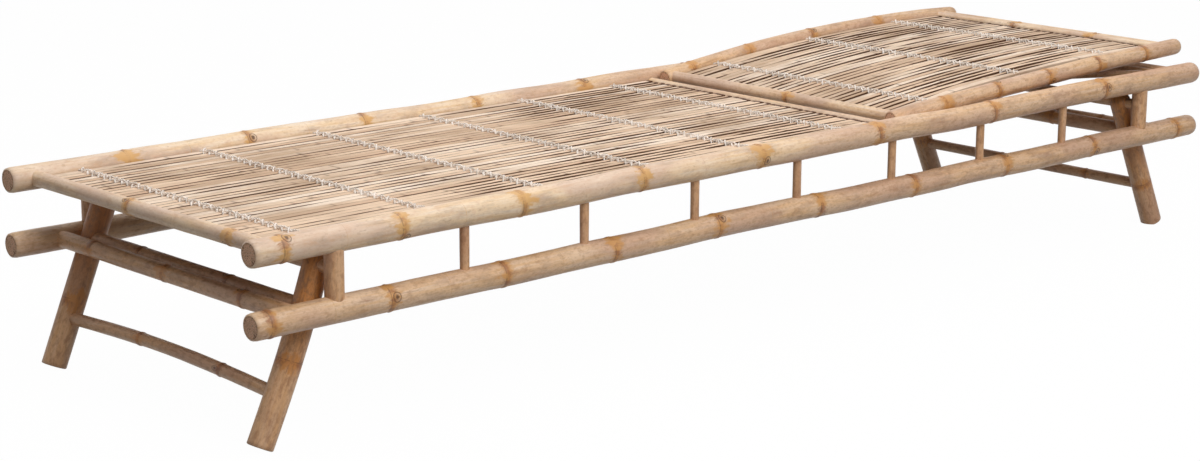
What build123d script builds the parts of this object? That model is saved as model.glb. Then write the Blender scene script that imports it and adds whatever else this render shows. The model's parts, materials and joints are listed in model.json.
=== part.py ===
from build123d import *
import os
from math import asin, atan2, cos, degrees, hypot, pi, radians, sin

os.makedirs("parts", exist_ok=True)

# A bamboo sun lounger on two folding leg frames, with a backrest that swings up on a prop.
# X runs from the foot end to the head end, Y across and Z up from the floor, in millimetres.
# Left is the side at -Y. All poles are peeled bamboo, pushed whole into sockets drilled for them.

# Clearances
fit_clearance = 0.05      # around and behind a pole in its socket, and round a pin that turns
rest_gap = 0.3            # between pieces that lie against each other and move apart
soft_gap = 0.15           # under and beside a cord

# Bamboo
ring_height = 0.8         # how far a node ring stands out of its pole
ring_length = 10.0
end_rounding = 1.0

# Side frames
rail_length = 2000.0
rail_diameter = 36.0
rail_spacing = 574.0      # between the axes of the two sides
upper_rail_height = 270.0
lower_rail_drop = 93.0    # from the axes of the upper rails to those of the lower
foot_overhang = 130.0     # from the foot end of the rails to the front posts
head_overhang = 150.0     # from the rear posts to the head end of the rails
post_diameter = 26.0
post_depth = 8.0          # how deep a post sits in a rail
spindle_diameter = 13.0
spindle_depth = 10.0
spindle_count = 7         # on each side, evenly between the posts

# Crossbars of the main frame
bar_depth = 10.0          # how deep a bar sits in a rail
end_bar_diameter = 22.0
end_bar_inset = 38.0      # from a rail end to the foot or head crossbar
seat_end_bar_diameter = 18.0
seat_end_bar_setback = 28.0
seat_end_bar_drop = 3.0   # below the axes of the upper rails

# Legs
pivot_drop = 40.0         # from the axes of the upper rails to the pivots of the legs
pivot_rod_diameter = 18.0
leg_diameter = 36.0
leg_side_gap = 3.0        # between a leg and the rail beside it
front_splay = 22.5        # degrees from upright
rear_splay = 26.0
foot_trim = 3.0           # how much of a leg's lower edge is cut off flat at the floor
upper_stretcher_diameter = 24.0
upper_stretcher_distance = 58.0
lower_stretcher_diameter = 18.0
lower_stretcher_distance = 173.0
stretcher_depth = 10.0
stop_bar_diameter = 24.0

# Slats, bearers and lashings
slat_width = 13.2
slat_thickness = 6.0
slat_rounding = 3.5
slat_end_gap = 1.5
slat_rise = 4.0           # of the slat tops above the axes of the rails beside them
seat_slat_count = 37
seat_bearer_diameter = 14.0
seat_first_row = 52.5     # from the foot ends of the slats
seat_last_row = 87.5      # from the head ends of the slats
seat_row_count = 6
backrest_slat_count = 33
backrest_bearer_diameter = 10.0
backrest_first_row = 79.5
backrest_last_row = 130.5
backrest_row_count = 3
cord_diameter = 2.6
cord_sway = 4.0           # of a lashing to each side of its row
cord_bend = 8.0
cord_end_bend = 3.0

# Backrest
hinge_inset = 746.0       # from the head end of the rails
hinge_rise = 8.0          # above the axes of the upper rails
backrest_angle = 2.6      # degrees, as it lies at its lowest
backrest_length = 745.0   # from the hinge to the head end
backrest_bow = 14.0       # how far the backrest arches up between its ends
backrest_tail = 14.0      # of the rails past the hinge
backrest_side_gap = 3.0
backrest_rail_diameter = 28.0
backrest_bar_depth = 8.0
hinge_bar_diameter = 20.0
hinge_pin_diameter = 10.0
hinge_pin_depth = 16.0    # of a pin in an upper rail
head_bar_diameter = 14.0
head_bar_rise = 2.0
head_bar_inset = 33.0     # from the head end of the backrest rails to the outer head bar
head_bar_spacing = 18.0

# Backrest prop and its racks
recline_range = 55.0      # degrees
prop_arm_diameter = 11.0
prop_arm_side_gap = 3.0
prop_arm_depth = 6.0      # of an arm in the foot bar
prop_pivot_diameter = 6.0
prop_pivot_drop = 8.5     # below the crown of the axes of the backrest rails
foot_bar_diameter = 18.0
foot_bar_end_gap = 6.0
rack_thickness = 9.0
rack_overlap = 12.0       # of the foot bar on each rack
rack_leg_gap = 1.2        # between a rack and a leg folded under it
rack_wrap = 11.0          # how far a rack reaches in under its rail
rack_tail = 25.0
notch_count = 5
notch_depth = 5.0
rack_peg_diameter = 5.0
rack_peg_height = 5.5     # above the bottom of the rack
rack_peg_depth = 8.0

# Node rings of each kind of pole: the first one, the internode after it and how much each next one grows
left_upper_rail_rings = (69.0, 190.0, 15.0)
left_lower_rail_rings = (35.0, 190.0, 6.0)
right_upper_rail_rings = (188.0, 210.0, 8.0)
right_lower_rail_rings = (120.0, 200.0, 8.0)
left_backrest_rail_rings = (122.0, 134.0, 0.0)
right_backrest_rail_rings = (60.0, 140.0, 20.0)
foot_crossbar_rings = (79.0, 233.0, 0.0)
head_crossbar_rings = (150.0, 240.0, 0.0)
stop_bar_rings = (109.0, 180.0, 0.0)
upper_stretcher_rings = (150.0, 210.0, 0.0)
lower_stretcher_rings = (110.0, 190.0, 0.0)
leg_rings = (120.0, 102.0, 0.0)
hinge_bar_rings = (224.0, 300.0, 0.0)


def ring_places(length, spacing):
    """Distances of the node rings along a pole, whose internodes grow steadily."""
    first, internode, growth = spacing
    places = []
    place = first
    while place < length - first / 2:
        places.append(place)
        place += internode + growth * (len(places) - 1)
    return places


class Pole:
    """A straight round pole: where it starts and ends, how thick it is and where its rings are."""

    def __init__(self, start, end, diameter, rings=()):
        self.start = Vector(*start)
        self.end = Vector(*end)
        self.radius = diameter / 2
        self.length = (self.end - self.start).length
        self.way = (self.end - self.start).normalized()
        self.rings = rings


def cross_pole(center, half_length, diameter, rings=()):
    """A pole that runs straight across, from the left side to the right."""
    x, y, z = center
    return Pole((x, y - half_length, z), (x, y + half_length, z), diameter, rings)


def turn(pole, round_start=False):
    """Adds a pole with its node rings to the part being built."""
    start_z = 0 if round_start else end_rounding
    axis_z = -pole.radius if round_start else 0
    outline = [(pole.radius, start_z)]
    for place in pole.rings:
        outline.append((pole.radius, place - ring_length / 2))
        outline.append((pole.radius + ring_height, place - ring_length / 8))
        outline.append((pole.radius + ring_height, place + ring_length / 8))
        outline.append((pole.radius, place + ring_length / 2))
    outline.append((pole.radius, pole.length - end_rounding))
    outline.append((pole.radius - end_rounding, pole.length))
    outline.append((0, pole.length))
    outline.append((0, axis_z))
    across = Plane(pole.start, z_dir=pole.way)
    with BuildSketch(Plane(pole.start, x_dir=across.x_dir, z_dir=-across.y_dir)) as half_section:
        with BuildLine():
            if round_start:
                CenterArc((0, 0), pole.radius, -90, 90)
            else:
                Polyline((0, 0), (pole.radius - end_rounding, 0), (pole.radius, end_rounding))
            Polyline(*outline)
        make_face()
    revolve(half_section.sketch, axis=Axis(pole.start, pole.way))


def bore(pole, clearance=fit_clearance):
    """Cuts the room for a pole, and the clearance round it, out of the part being built."""
    with Locations(Plane(pole.start - pole.way * clearance, z_dir=pole.way)):
        Cylinder(
            pole.radius + clearance,
            pole.length + 2 * clearance,
            align=(Align.CENTER, Align.CENTER, Align.MIN),
            mode=Mode.SUBTRACT,
        )


def save(piece, name):
    """Labels a finished piece and writes it."""
    piece.part.label = name
    export_step(piece.part, f"parts/{name}.step")


def make_pole(name, pole, sockets=()):
    """A piece that is one pole, with a socket for each pole that is pushed into it."""
    with BuildPart() as piece:
        turn(pole)
        for guest in sockets:
            bore(guest)
    save(piece, name)


def make_poles(name, poles):
    """A group of like poles in one piece."""
    with BuildPart() as piece:
        for pole in poles:
            turn(pole)
    save(piece, name)


# Places that the pieces share
sides = {"left": -1, "right": 1}
side_y = rail_spacing / 2
rail_face_y = side_y - rail_diameter / 2
foot_x = -rail_length / 2
head_x = rail_length / 2
front_post_x = foot_x + foot_overhang
rear_post_x = head_x - head_overhang
spindle_pitch = (rear_post_x - front_post_x) / (spindle_count + 1)
lower_rail_height = upper_rail_height - lower_rail_drop
pivot_height = upper_rail_height - pivot_drop
rail_bar_reach = rail_face_y + bar_depth

# Rails, with the rings where their bamboo has its nodes
rail_rings = {
    ("upper", "left"): ring_places(rail_length, left_upper_rail_rings),
    ("lower", "left"): ring_places(rail_length, left_lower_rail_rings),
    ("upper", "right"): ring_places(rail_length, right_upper_rail_rings),
    ("lower", "right"): ring_places(rail_length, right_lower_rail_rings),
}
rail_heights = {"upper": upper_rail_height, "lower": lower_rail_height}
rails = {}
for (level, side), rings in rail_rings.items():
    y = sides[side] * side_y
    z = rail_heights[level]
    rails[level, side] = Pole((foot_x, y, z), (head_x, y, z), rail_diameter, rings)

# Posts and spindles between the upper and the lower rail of each side
rail_radius = rail_diameter / 2


def upright(x, side, diameter, depth):
    """A pole that stands between the two rails of a side."""
    y = sides[side] * side_y
    low = lower_rail_height + rail_radius - depth
    high = upper_rail_height - rail_radius + depth
    return Pole((x, y, low), (x, y, high), diameter)


posts = {}
spindles = {}
for side in sides:
    posts["front", side] = upright(front_post_x, side, post_diameter, post_depth)
    posts["rear", side] = upright(rear_post_x, side, post_diameter, post_depth)
    for number in range(1, spindle_count + 1):
        spindle_x = front_post_x + number * spindle_pitch
        spindles[side, number] = upright(spindle_x, side, spindle_diameter, spindle_depth)

# Crossbars of the main frame
hinge_x = head_x - hinge_inset
hinge_height = upper_rail_height + hinge_rise
head_bar_x = head_x - end_bar_inset
foot_bar_x = foot_x + end_bar_inset
seat_end_x = hinge_x - seat_end_bar_setback
seat_end_z = upper_rail_height - seat_end_bar_drop
foot_crossbar = cross_pole(
    (foot_bar_x, 0, upper_rail_height), rail_bar_reach, end_bar_diameter,
    ring_places(2 * rail_bar_reach, foot_crossbar_rings),
)
head_crossbar = cross_pole(
    (head_bar_x, 0, upper_rail_height), rail_bar_reach, end_bar_diameter,
    ring_places(2 * rail_bar_reach, head_crossbar_rings),
)
seat_end_crossbar = cross_pole((seat_end_x, 0, seat_end_z), rail_bar_reach, seat_end_bar_diameter)

# Leg frames: each hangs on a pivot rod between two posts and leans on a stop bar
leg_radius = leg_diameter / 2
leg_y = rail_face_y - leg_side_gap - leg_radius
pivot_reach = side_y - post_diameter / 2 + post_depth
leg_face_y = leg_y - leg_radius
stretcher_reach = leg_face_y + stretcher_depth


class LegFrame:
    """The poles of one leg frame, which splays from its pivot towards its end of the lounger."""

    def __init__(self, pivot_x, outward, splay):
        lean = radians(splay)
        self.pivot = Vector(pivot_x, 0, pivot_height)
        self.down = Vector(outward * sin(lean), 0, -cos(lean))
        self.rod = cross_pole(self.pivot, pivot_reach, pivot_rod_diameter)
        self.upper_stretcher = self.across(
            upper_stretcher_distance, upper_stretcher_diameter, upper_stretcher_rings
        )
        self.lower_stretcher = self.across(
            lower_stretcher_distance, lower_stretcher_diameter, lower_stretcher_rings
        )
        # The square-cut end of a leg would reach below the floor by the trim
        leg_length = (pivot_height - leg_radius * sin(lean) + foot_trim) / cos(lean)
        self.legs = {}
        for side, sign in sides.items():
            top = self.pivot + Vector(0, sign * leg_y, 0)
            rings = ring_places(leg_length, leg_rings)
            self.legs[side] = Pole(top, top + self.down * leg_length, leg_diameter, rings)
        # The stop bar lies in the lower rails, against the outer faces of the legs
        reach = leg_radius + stop_bar_diameter / 2 + rest_gap
        drop = pivot_height - lower_rail_height
        stop_x = pivot_x + outward * (reach + drop * sin(lean)) / cos(lean)
        self.stop_bar = cross_pole(
            (stop_x, 0, lower_rail_height), rail_bar_reach, stop_bar_diameter,
            ring_places(2 * rail_bar_reach, stop_bar_rings),
        )

    def across(self, distance, diameter, spacing):
        """A stretcher between the legs, at a distance down from the pivot."""
        rings = ring_places(2 * stretcher_reach, spacing)
        return cross_pole(self.pivot + self.down * distance, stretcher_reach, diameter, rings)


leg_frames = {
    "front": LegFrame(front_post_x, -1, front_splay),
    "rear": LegFrame(rear_post_x, 1, rear_splay),
}


def make_leg(name, frame, side):
    """A leg with a round top about its pivot rod and a foot trimmed flat at the floor."""
    leg = frame.legs[side]
    with BuildPart() as piece:
        turn(leg, round_start=True)
        bore(frame.rod)
        bore(frame.upper_stretcher)
        bore(frame.lower_stretcher)
        split(bisect_by=Plane.XY, keep=Keep.TOP)
    save(piece, name)


# Backrest: X of its plane runs straight from the hinge to the head end, and the backrest arches over it
tilt = radians(backrest_angle)
backrest_plane = Plane(
    (hinge_x, 0, hinge_height), x_dir=(cos(tilt), 0, sin(tilt)), z_dir=(-sin(tilt), 0, cos(tilt))
)
backrest_radius = backrest_rail_diameter / 2
backrest_rail_y = rail_face_y - backrest_side_gap - backrest_radius
backrest_face_y = backrest_rail_y - backrest_radius
backrest_bar_reach = backrest_face_y + backrest_bar_depth
backrest_rail_length = backrest_tail + backrest_length
outer_head_place = backrest_length - head_bar_inset
inner_head_place = outer_head_place - head_bar_spacing
arch_radius = (backrest_length**2 / 4 + backrest_bow**2) / (2 * backrest_bow)
arch_center = backrest_plane.from_local_coords(Vector(backrest_length / 2, 0, backrest_bow - arch_radius))
arch_axis = Axis(arch_center, (0, 1, 0))


def arch_lean(place):
    """How steep the arch is over its straight line, at a place up from the hinge."""
    return asin((backrest_length / 2 - place) / arch_radius)


def arch_turn(start, end):
    """Degrees of the arch between two places."""
    return degrees(arch_lean(start) - arch_lean(end))


def arch_plane(place, y=0.0):
    """The plane on the arch at a place up from the hinge, with X along the arch."""
    lean = arch_lean(place)
    rise = backrest_bow - arch_radius * (1 - cos(lean))
    slope = tilt + lean
    return Plane(
        backrest_plane.from_local_coords(Vector(place, y, rise)),
        x_dir=(cos(slope), 0, sin(slope)),
        z_dir=(-sin(slope), 0, cos(slope)),
    )


def backrest_bar(place, rise, half_length, diameter, rings=()):
    """A bar across the backrest, at a place up from the hinge."""
    center = arch_plane(place).from_local_coords(Vector(0, 0, rise))
    return cross_pole(center, half_length, diameter, rings)


backrest_rings = {
    "left": ring_places(backrest_rail_length, left_backrest_rail_rings),
    "right": ring_places(backrest_rail_length, right_backrest_rail_rings),
}
hinge_pins = backrest_bar(0, 0, rail_face_y + hinge_pin_depth, hinge_pin_diameter)
hinge_bar = backrest_bar(
    0, 0, backrest_bar_reach, hinge_bar_diameter, ring_places(2 * backrest_bar_reach, hinge_bar_rings)
)
head_bars = {
    "inner": backrest_bar(inner_head_place, head_bar_rise, backrest_bar_reach, head_bar_diameter),
    "outer": backrest_bar(outer_head_place, head_bar_rise, backrest_bar_reach, head_bar_diameter),
}


def make_backrest_rail(name, side, sockets):
    """A pole that is straight between its nodes and arched as a whole, with a socket for each guest."""
    y = sides[side] * backrest_rail_y
    low = -backrest_tail
    stations = [(low, backrest_radius - end_rounding), (low + end_rounding, backrest_radius)]
    for distance in backrest_rings[side]:
        stations.append((low + distance - ring_length / 2, backrest_radius))
        stations.append((low + distance - ring_length / 8, backrest_radius + ring_height))
        stations.append((low + distance + ring_length / 8, backrest_radius + ring_height))
        stations.append((low + distance + ring_length / 2, backrest_radius))
    stations.append((backrest_length - end_rounding, backrest_radius))
    stations.append((backrest_length, backrest_radius - end_rounding))
    with BuildPart() as piece:
        for place, radius in stations:
            station = arch_plane(place, y)
            with BuildSketch(Plane(station.origin, x_dir=station.y_dir, z_dir=station.x_dir)):
                Circle(radius)
        loft(ruled=True)
        for guest in sockets:
            bore(guest)
    save(piece, name)


class Mat:
    """Slats side by side on bearers, lashed to them in rows, between two rails."""

    def __init__(self, plane_at, start, end, face_y, slat_count, bearer_diameter, bearer_reach, rows):
        self.plane_at = plane_at
        self.start = start
        self.end = end
        first_row, last_row, row_count = rows
        row_pitch = (end - start - first_row - last_row) / (row_count - 1)
        self.rows = [start + first_row + number * row_pitch for number in range(row_count)]
        self.slat_count = slat_count
        self.cord_end_y = face_y - ring_height - soft_gap - cord_diameter / 2
        width = 2 * (self.cord_end_y - cord_diameter / 2 - soft_gap)
        self.pitch = (width - slat_width) / (slat_count - 1)
        self.bearer_radius = bearer_diameter / 2
        self.bearer_level = slat_rise - slat_thickness - fit_clearance - self.bearer_radius
        self.bearers = []
        for row in self.rows:
            center = plane_at(row).from_local_coords(Vector(0, 0, self.bearer_level))
            self.bearers.append(cross_pole(center, bearer_reach, bearer_diameter))

    def lashing_points(self):
        """Corners of a lashing: up beside the bearer, over each slat in turn and down again."""
        top = slat_rise + cord_diameter / 2 + soft_gap
        beside = self.bearer_radius + cord_diameter / 2 + soft_gap
        points = [(-beside, -self.cord_end_y, self.bearer_level), (-beside, -self.cord_end_y, top)]
        for number in range(1, self.slat_count):
            sway = cord_sway if number % 2 else -cord_sway
            points.append((sway, (number - self.slat_count / 2) * self.pitch, top))
        points.append((beside, self.cord_end_y, top))
        points.append((beside, self.cord_end_y, self.bearer_level))
        return points


def make_slats(name, mat):
    """The slats of a mat, as separate split canes with a rounded upper side."""
    start_plane = mat.plane_at(mat.start)
    section_plane = Plane(
        start_plane.from_local_coords(Vector(0, 0, slat_rise - slat_thickness / 2)),
        x_dir=start_plane.y_dir,
        z_dir=start_plane.x_dir,
    )
    with BuildPart() as slats:
        with BuildSketch(section_plane):
            with GridLocations(mat.pitch, slat_thickness, mat.slat_count, 1):
                Rectangle(slat_width, slat_thickness)
            fillet(vertices().group_by(Axis.Y)[-1], radius=slat_rounding)
        if mat.plane_at is arch_plane:
            revolve(axis=arch_axis, revolution_arc=arch_turn(mat.start, mat.end))
        else:
            extrude(amount=mat.end - mat.start)
    save(slats, name)


def make_lashings(name, mat):
    """One unbroken cord for each row of a mat."""
    with BuildPart() as lashings:
        points = mat.lashing_points()
        bends = [cord_end_bend] + [cord_bend] * (len(points) - 4) + [cord_end_bend]
        for row in mat.rows:
            with BuildLine(mat.plane_at(row)) as route:
                FilletPolyline(*points, radius=bends)
            cord = route.wires()[0]
            with BuildSketch(Plane(cord @ 0, z_dir=cord % 0)) as section:
                Circle(cord_diameter / 2)
            sweep(section.sketch, path=cord)
    cord_volume = pi * (cord_diameter / 2) ** 2 * cord.length * len(mat.rows)
    print(f"{name}: bends of {cord_end_bend} and {cord_bend} mm, {cord.length:.0f} mm a row")
    print(f"{name}: volume over section times length {lashings.part.volume / cord_volume:.4f}")
    save(lashings, name)


def seat_plane(place):
    """The plane of the seat at a place from the foot ends of the rails."""
    return Plane((foot_x + place, 0, upper_rail_height))


seat_mat = Mat(
    seat_plane,
    end_bar_inset + end_bar_diameter / 2 + slat_end_gap,
    seat_end_x - foot_x - seat_end_bar_diameter / 2 - slat_end_gap,
    rail_face_y,
    seat_slat_count,
    seat_bearer_diameter,
    rail_bar_reach,
    (seat_first_row, seat_last_row, seat_row_count),
)
backrest_mat = Mat(
    arch_plane,
    hinge_bar_diameter / 2 + slat_end_gap,
    inner_head_place - head_bar_diameter / 2 - slat_end_gap,
    backrest_face_y,
    backrest_slat_count,
    backrest_bearer_diameter,
    backrest_bar_reach,
    (backrest_first_row, backrest_last_row, backrest_row_count),
)

# Prop: its foot bar lies on the racks, against the head crossbar when the backrest is at its lowest.
# Its arms are as long as the hinge is far from their pivot, so the foot bar runs along a straight
# line through the hinge as the backrest rises, and the prop turns twice as far as the backrest.
foot_bar_radius = foot_bar_diameter / 2
rack_bottom = pivot_height + leg_radius + ring_height + rack_leg_gap
prop_foot_x = head_bar_x - end_bar_diameter / 2 - ring_height - foot_bar_radius - rest_gap
prop_foot_z = rack_bottom + rack_thickness + rest_gap + foot_bar_radius
foot_local = backrest_plane.to_local_coords(Vector(prop_foot_x, 0, prop_foot_z))
pivot_rise = backrest_bow - prop_pivot_drop
pivot_place = (foot_local.X**2 + foot_local.Z**2 - 2 * pivot_rise * foot_local.Z) / (2 * foot_local.X)
prop_pivot = backrest_plane.from_local_coords(Vector(pivot_place, 0, pivot_rise))
prop_length = hypot(pivot_place, pivot_rise)
foot_bar_reach = rail_face_y - ring_height - foot_bar_end_gap
prop_pivot_rod = cross_pole(prop_pivot, backrest_bar_reach, prop_pivot_diameter)
prop_foot_bar = cross_pole((prop_foot_x, 0, prop_foot_z), foot_bar_reach, foot_bar_diameter)
prop_way = (Vector(prop_foot_x, 0, prop_foot_z) - prop_pivot).normalized()
prop_arm_y = backrest_face_y - prop_arm_side_gap - prop_arm_diameter / 2
prop_arms = {}
for side, sign in sides.items():
    arm_top = prop_pivot + Vector(0, sign * prop_arm_y, 0)
    arm_length = prop_length - foot_bar_radius + prop_arm_depth
    prop_arms[side] = Pole(arm_top, arm_top + prop_way * arm_length, prop_arm_diameter)


def make_prop_arm(name, arm):
    """A prop arm with a round top about the pivot rod."""
    with BuildPart() as piece:
        turn(arm, round_start=True)
        bore(prop_pivot_rod)
    save(piece, name)


# Racks: the foot bar slides just above the teeth and drops into a notch
run_slope = atan2(hinge_height - prop_foot_z, prop_foot_x - hinge_x)
rest_spread = tilt + atan2(pivot_rise, pivot_place) + run_slope
rack_inner_y = foot_bar_reach - rack_overlap
rack_outer_y = rail_face_y + rack_wrap
notch_radius = foot_bar_radius + rest_gap


def foot_bar_place(raised, drop=0.0):
    """Where the foot bar's axis is, in X and Z, with the backrest raised by an angle in degrees."""
    distance = 2 * prop_length * cos(rest_spread + radians(raised))
    return (hinge_x + distance * cos(run_slope), hinge_height - distance * sin(run_slope) - drop)


tooth_drop = (foot_bar_radius + rest_gap) / cos(run_slope)
rack_low_x, rack_low_z = foot_bar_place(recline_range, tooth_drop)
rack_low_x -= rack_tail
rack_low_z += rack_tail * sin(run_slope)
rack_high_x, rack_high_z = foot_bar_place(0, tooth_drop)
rack_high_x += foot_bar_radius
rack_outline = [
    (rack_low_x, rack_bottom),
    (rack_high_x, rack_bottom),
    (rack_high_x, rack_high_z - foot_bar_radius * sin(run_slope)),
    (rack_low_x, rack_low_z),
]
notch_centers = [
    foot_bar_place(number * recline_range / notch_count, notch_depth) for number in range(1, notch_count + 1)
]
rack_pegs = {}
for side, sign in sides.items():
    rack_pegs[side] = []
    for before, after in zip(notch_centers, notch_centers[1:]):
        # Each peg stands midway between two notches, and none where the rear post is
        start = ((before[0] + after[0]) / 2, sign * rack_inner_y, rack_bottom + rack_peg_height)
        end = (start[0], sign * (rack_outer_y + rack_peg_depth), start[2])
        if abs(start[0] - rear_post_x) > post_diameter:
            rack_pegs[side].append(Pole(start, end, rack_peg_diameter))


def make_rack(name, side):
    """A notched strip pegged to the inner face of an upper rail."""
    near_face = rack_inner_y if side == "left" else -rack_outer_y
    with BuildPart() as rack:
        with BuildSketch(Plane.XZ.offset(near_face)):
            with BuildLine():
                Polyline(*rack_outline, close=True)
            make_face()
            with Locations(*notch_centers):
                Circle(notch_radius, mode=Mode.SUBTRACT)
        extrude(amount=rack_outer_y - rack_inner_y)
        bore(rails["upper", side], ring_height + fit_clearance)
        bore(posts["rear", side], rest_gap)
        for peg in rack_pegs[side]:
            bore(peg)
    save(rack, name)


# The pieces of the main frame
stop_bars = [frame.stop_bar for frame in leg_frames.values()]
upper_bars = [foot_crossbar, head_crossbar, seat_end_crossbar, hinge_pins] + seat_mat.bearers
for side in sides:
    side_posts = [posts["front", side], posts["rear", side]]
    side_spindles = [spindles[side, number] for number in range(1, spindle_count + 1)]
    make_pole(
        f"{side}_upper_rail", rails["upper", side], side_posts + side_spindles + upper_bars + rack_pegs[side]
    )
    make_pole(f"{side}_lower_rail", rails["lower", side], side_posts + side_spindles + stop_bars)
    for end, frame in leg_frames.items():
        make_pole(f"{side}_{end}_post", posts[end, side], [frame.rod])
    for number in range(1, spindle_count + 1):
        make_pole(f"{side}_spindle_{number}", spindles[side, number])
    make_rack(f"{side}_prop_rack", side)
make_pole("foot_crossbar", foot_crossbar)
make_pole("head_crossbar", head_crossbar)
make_pole("seat_end_crossbar", seat_end_crossbar)
make_poles("seat_bearers", seat_mat.bearers)
make_poles("rack_pegs", rack_pegs["left"] + rack_pegs["right"])
make_slats("seat_slats", seat_mat)
make_lashings("seat_lashings", seat_mat)

# The pieces of the leg frames
for end, frame in leg_frames.items():
    make_pole(f"{end}_pivot_rod", frame.rod)
    make_pole(f"{end}_stop_bar", frame.stop_bar)
    make_pole(f"{end}_upper_stretcher", frame.upper_stretcher)
    make_pole(f"{end}_lower_stretcher", frame.lower_stretcher)
    for side in sides:
        make_leg(f"{side}_{end}_leg", frame, side)

# The pieces of the backrest
backrest_guests = [hinge_bar, hinge_pins, prop_pivot_rod] + list(head_bars.values()) + backrest_mat.bearers
for side in sides:
    make_backrest_rail(f"{side}_backrest_rail", side, backrest_guests)
for name, bar in head_bars.items():
    make_pole(f"{name}_head_bar", bar)
for number, bearer in enumerate(backrest_mat.bearers, start=1):
    make_pole(f"backrest_bearer_{number}", bearer)
make_poles("backrest_hinge_bar", [hinge_bar, hinge_pins])
make_slats("backrest_slats", backrest_mat)
make_lashings("backrest_lashings", backrest_mat)
make_pole("prop_pivot_rod", prop_pivot_rod)

# The pieces of the prop
for side, arm in prop_arms.items():
    make_prop_arm(f"{side}_prop_arm", arm)
make_pole("prop_foot_bar", prop_foot_bar, list(prop_arms.values()))

print(f"prop pivot at {prop_pivot.X:.3f}, {prop_pivot.Z:.3f} mm, arms {prop_length:.3f} mm long")
print(f"foot bar runs down by {degrees(run_slope):.3f} degrees towards the head")
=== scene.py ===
import json
import math

import bmesh
import bpy
from mathutils import Matrix, Vector


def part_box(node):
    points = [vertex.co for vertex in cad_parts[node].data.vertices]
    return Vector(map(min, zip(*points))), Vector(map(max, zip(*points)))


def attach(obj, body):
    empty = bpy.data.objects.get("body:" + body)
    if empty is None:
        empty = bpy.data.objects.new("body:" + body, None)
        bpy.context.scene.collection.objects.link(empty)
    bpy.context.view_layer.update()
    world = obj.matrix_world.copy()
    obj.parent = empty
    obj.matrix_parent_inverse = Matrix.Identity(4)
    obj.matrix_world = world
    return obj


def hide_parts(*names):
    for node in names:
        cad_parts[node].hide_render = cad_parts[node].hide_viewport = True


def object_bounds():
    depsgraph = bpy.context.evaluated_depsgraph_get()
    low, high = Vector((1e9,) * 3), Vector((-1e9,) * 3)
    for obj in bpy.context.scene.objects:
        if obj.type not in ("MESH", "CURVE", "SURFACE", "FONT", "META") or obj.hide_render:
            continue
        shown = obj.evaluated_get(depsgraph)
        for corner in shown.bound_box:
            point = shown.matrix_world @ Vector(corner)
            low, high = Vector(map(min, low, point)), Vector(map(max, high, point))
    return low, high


bl_info = {
    "name": "Bamboo sun lounger",
    "version": (1, 0, 0),
    "blender": (4, 5, 0),
    "location": "View3D > Sidebar > Lounger",
    "description": "Dresses the packed frame of a bamboo sun lounger with culms, split slats and lashings",
    "category": "Object",
}

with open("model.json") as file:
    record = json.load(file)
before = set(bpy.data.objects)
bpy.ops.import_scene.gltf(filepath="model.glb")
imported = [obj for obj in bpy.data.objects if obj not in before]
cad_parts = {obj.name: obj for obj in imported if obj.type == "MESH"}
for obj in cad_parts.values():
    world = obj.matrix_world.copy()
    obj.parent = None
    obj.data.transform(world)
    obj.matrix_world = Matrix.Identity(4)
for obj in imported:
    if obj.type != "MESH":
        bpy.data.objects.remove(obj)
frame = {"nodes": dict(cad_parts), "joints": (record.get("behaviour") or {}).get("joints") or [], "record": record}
cad_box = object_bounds()
joint_places = {joint["name"]: Vector(joint["pos_m"]) for joint in frame["joints"]}

MM = 0.001
X, Y, Z = range(3)
SIDES = {"left": -1, "right": 1}

# Sizes of the solids that the boxes of the nodes don't give, in millimetres and degrees
RAIL_RADIUS = 18.0
POST_RADIUS = 13.0
SPINDLE_RADIUS = 6.5
END_BAR_RADIUS = 11.0
SEAT_END_BAR_RADIUS = 9.0
STOP_BAR_RADIUS = 12.0
PIVOT_ROD_RADIUS = 9.0
LEG_RADIUS = 18.0
LEG_Y = 248.0
LEG_LENGTHS = {"front": 244.74, "rear": 250.46}
LEG_SPLAYS = {"front": 22.5, "rear": 26.0}
STRETCHER_RADII = {"upper": 12.0, "lower": 9.0}
SEAT_BEARER_RADIUS = 7.0
BEARER_CLEARANCE = 0.05
BACKREST_ANGLE = 2.6
BACKREST_RAIL_RADIUS = 14.0
BACKREST_RAIL_Y = 252.0
BACKREST_TAIL = 14.0
BACKREST_LENGTH = 745.0
BACKREST_BOW = 14.0
BACKREST_BEARER_RADIUS = 5.0
HINGE_BAR_RADIUS = 10.0
HINGE_BAR_HALF = 246.0
HINGE_PIN_RADIUS = 5.0
HEAD_BAR_RADIUS = 7.0
PROP_ARM_RADIUS = 5.5
PROP_ARM_Y = 229.5
FOOT_BAR_RADIUS = 9.0

# How the grown poles depart from their solids, in millimetres
STRAIGHT = (0.0, 0.0, 0.0)
BOWS = {"left_front_leg": (6.0, 0.0, 2.5), "front_lower_stretcher": (0.0, 0.0, 8.0)}
BACKREST_RAIL_BOWS = {"left": 4.0, "right": 17.0}
LEG_TAPERS = {"front": 1.5, "rear": 3.0}
BACKREST_WANDER = 0.3  # share of the wander that the backrest rails take

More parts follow.
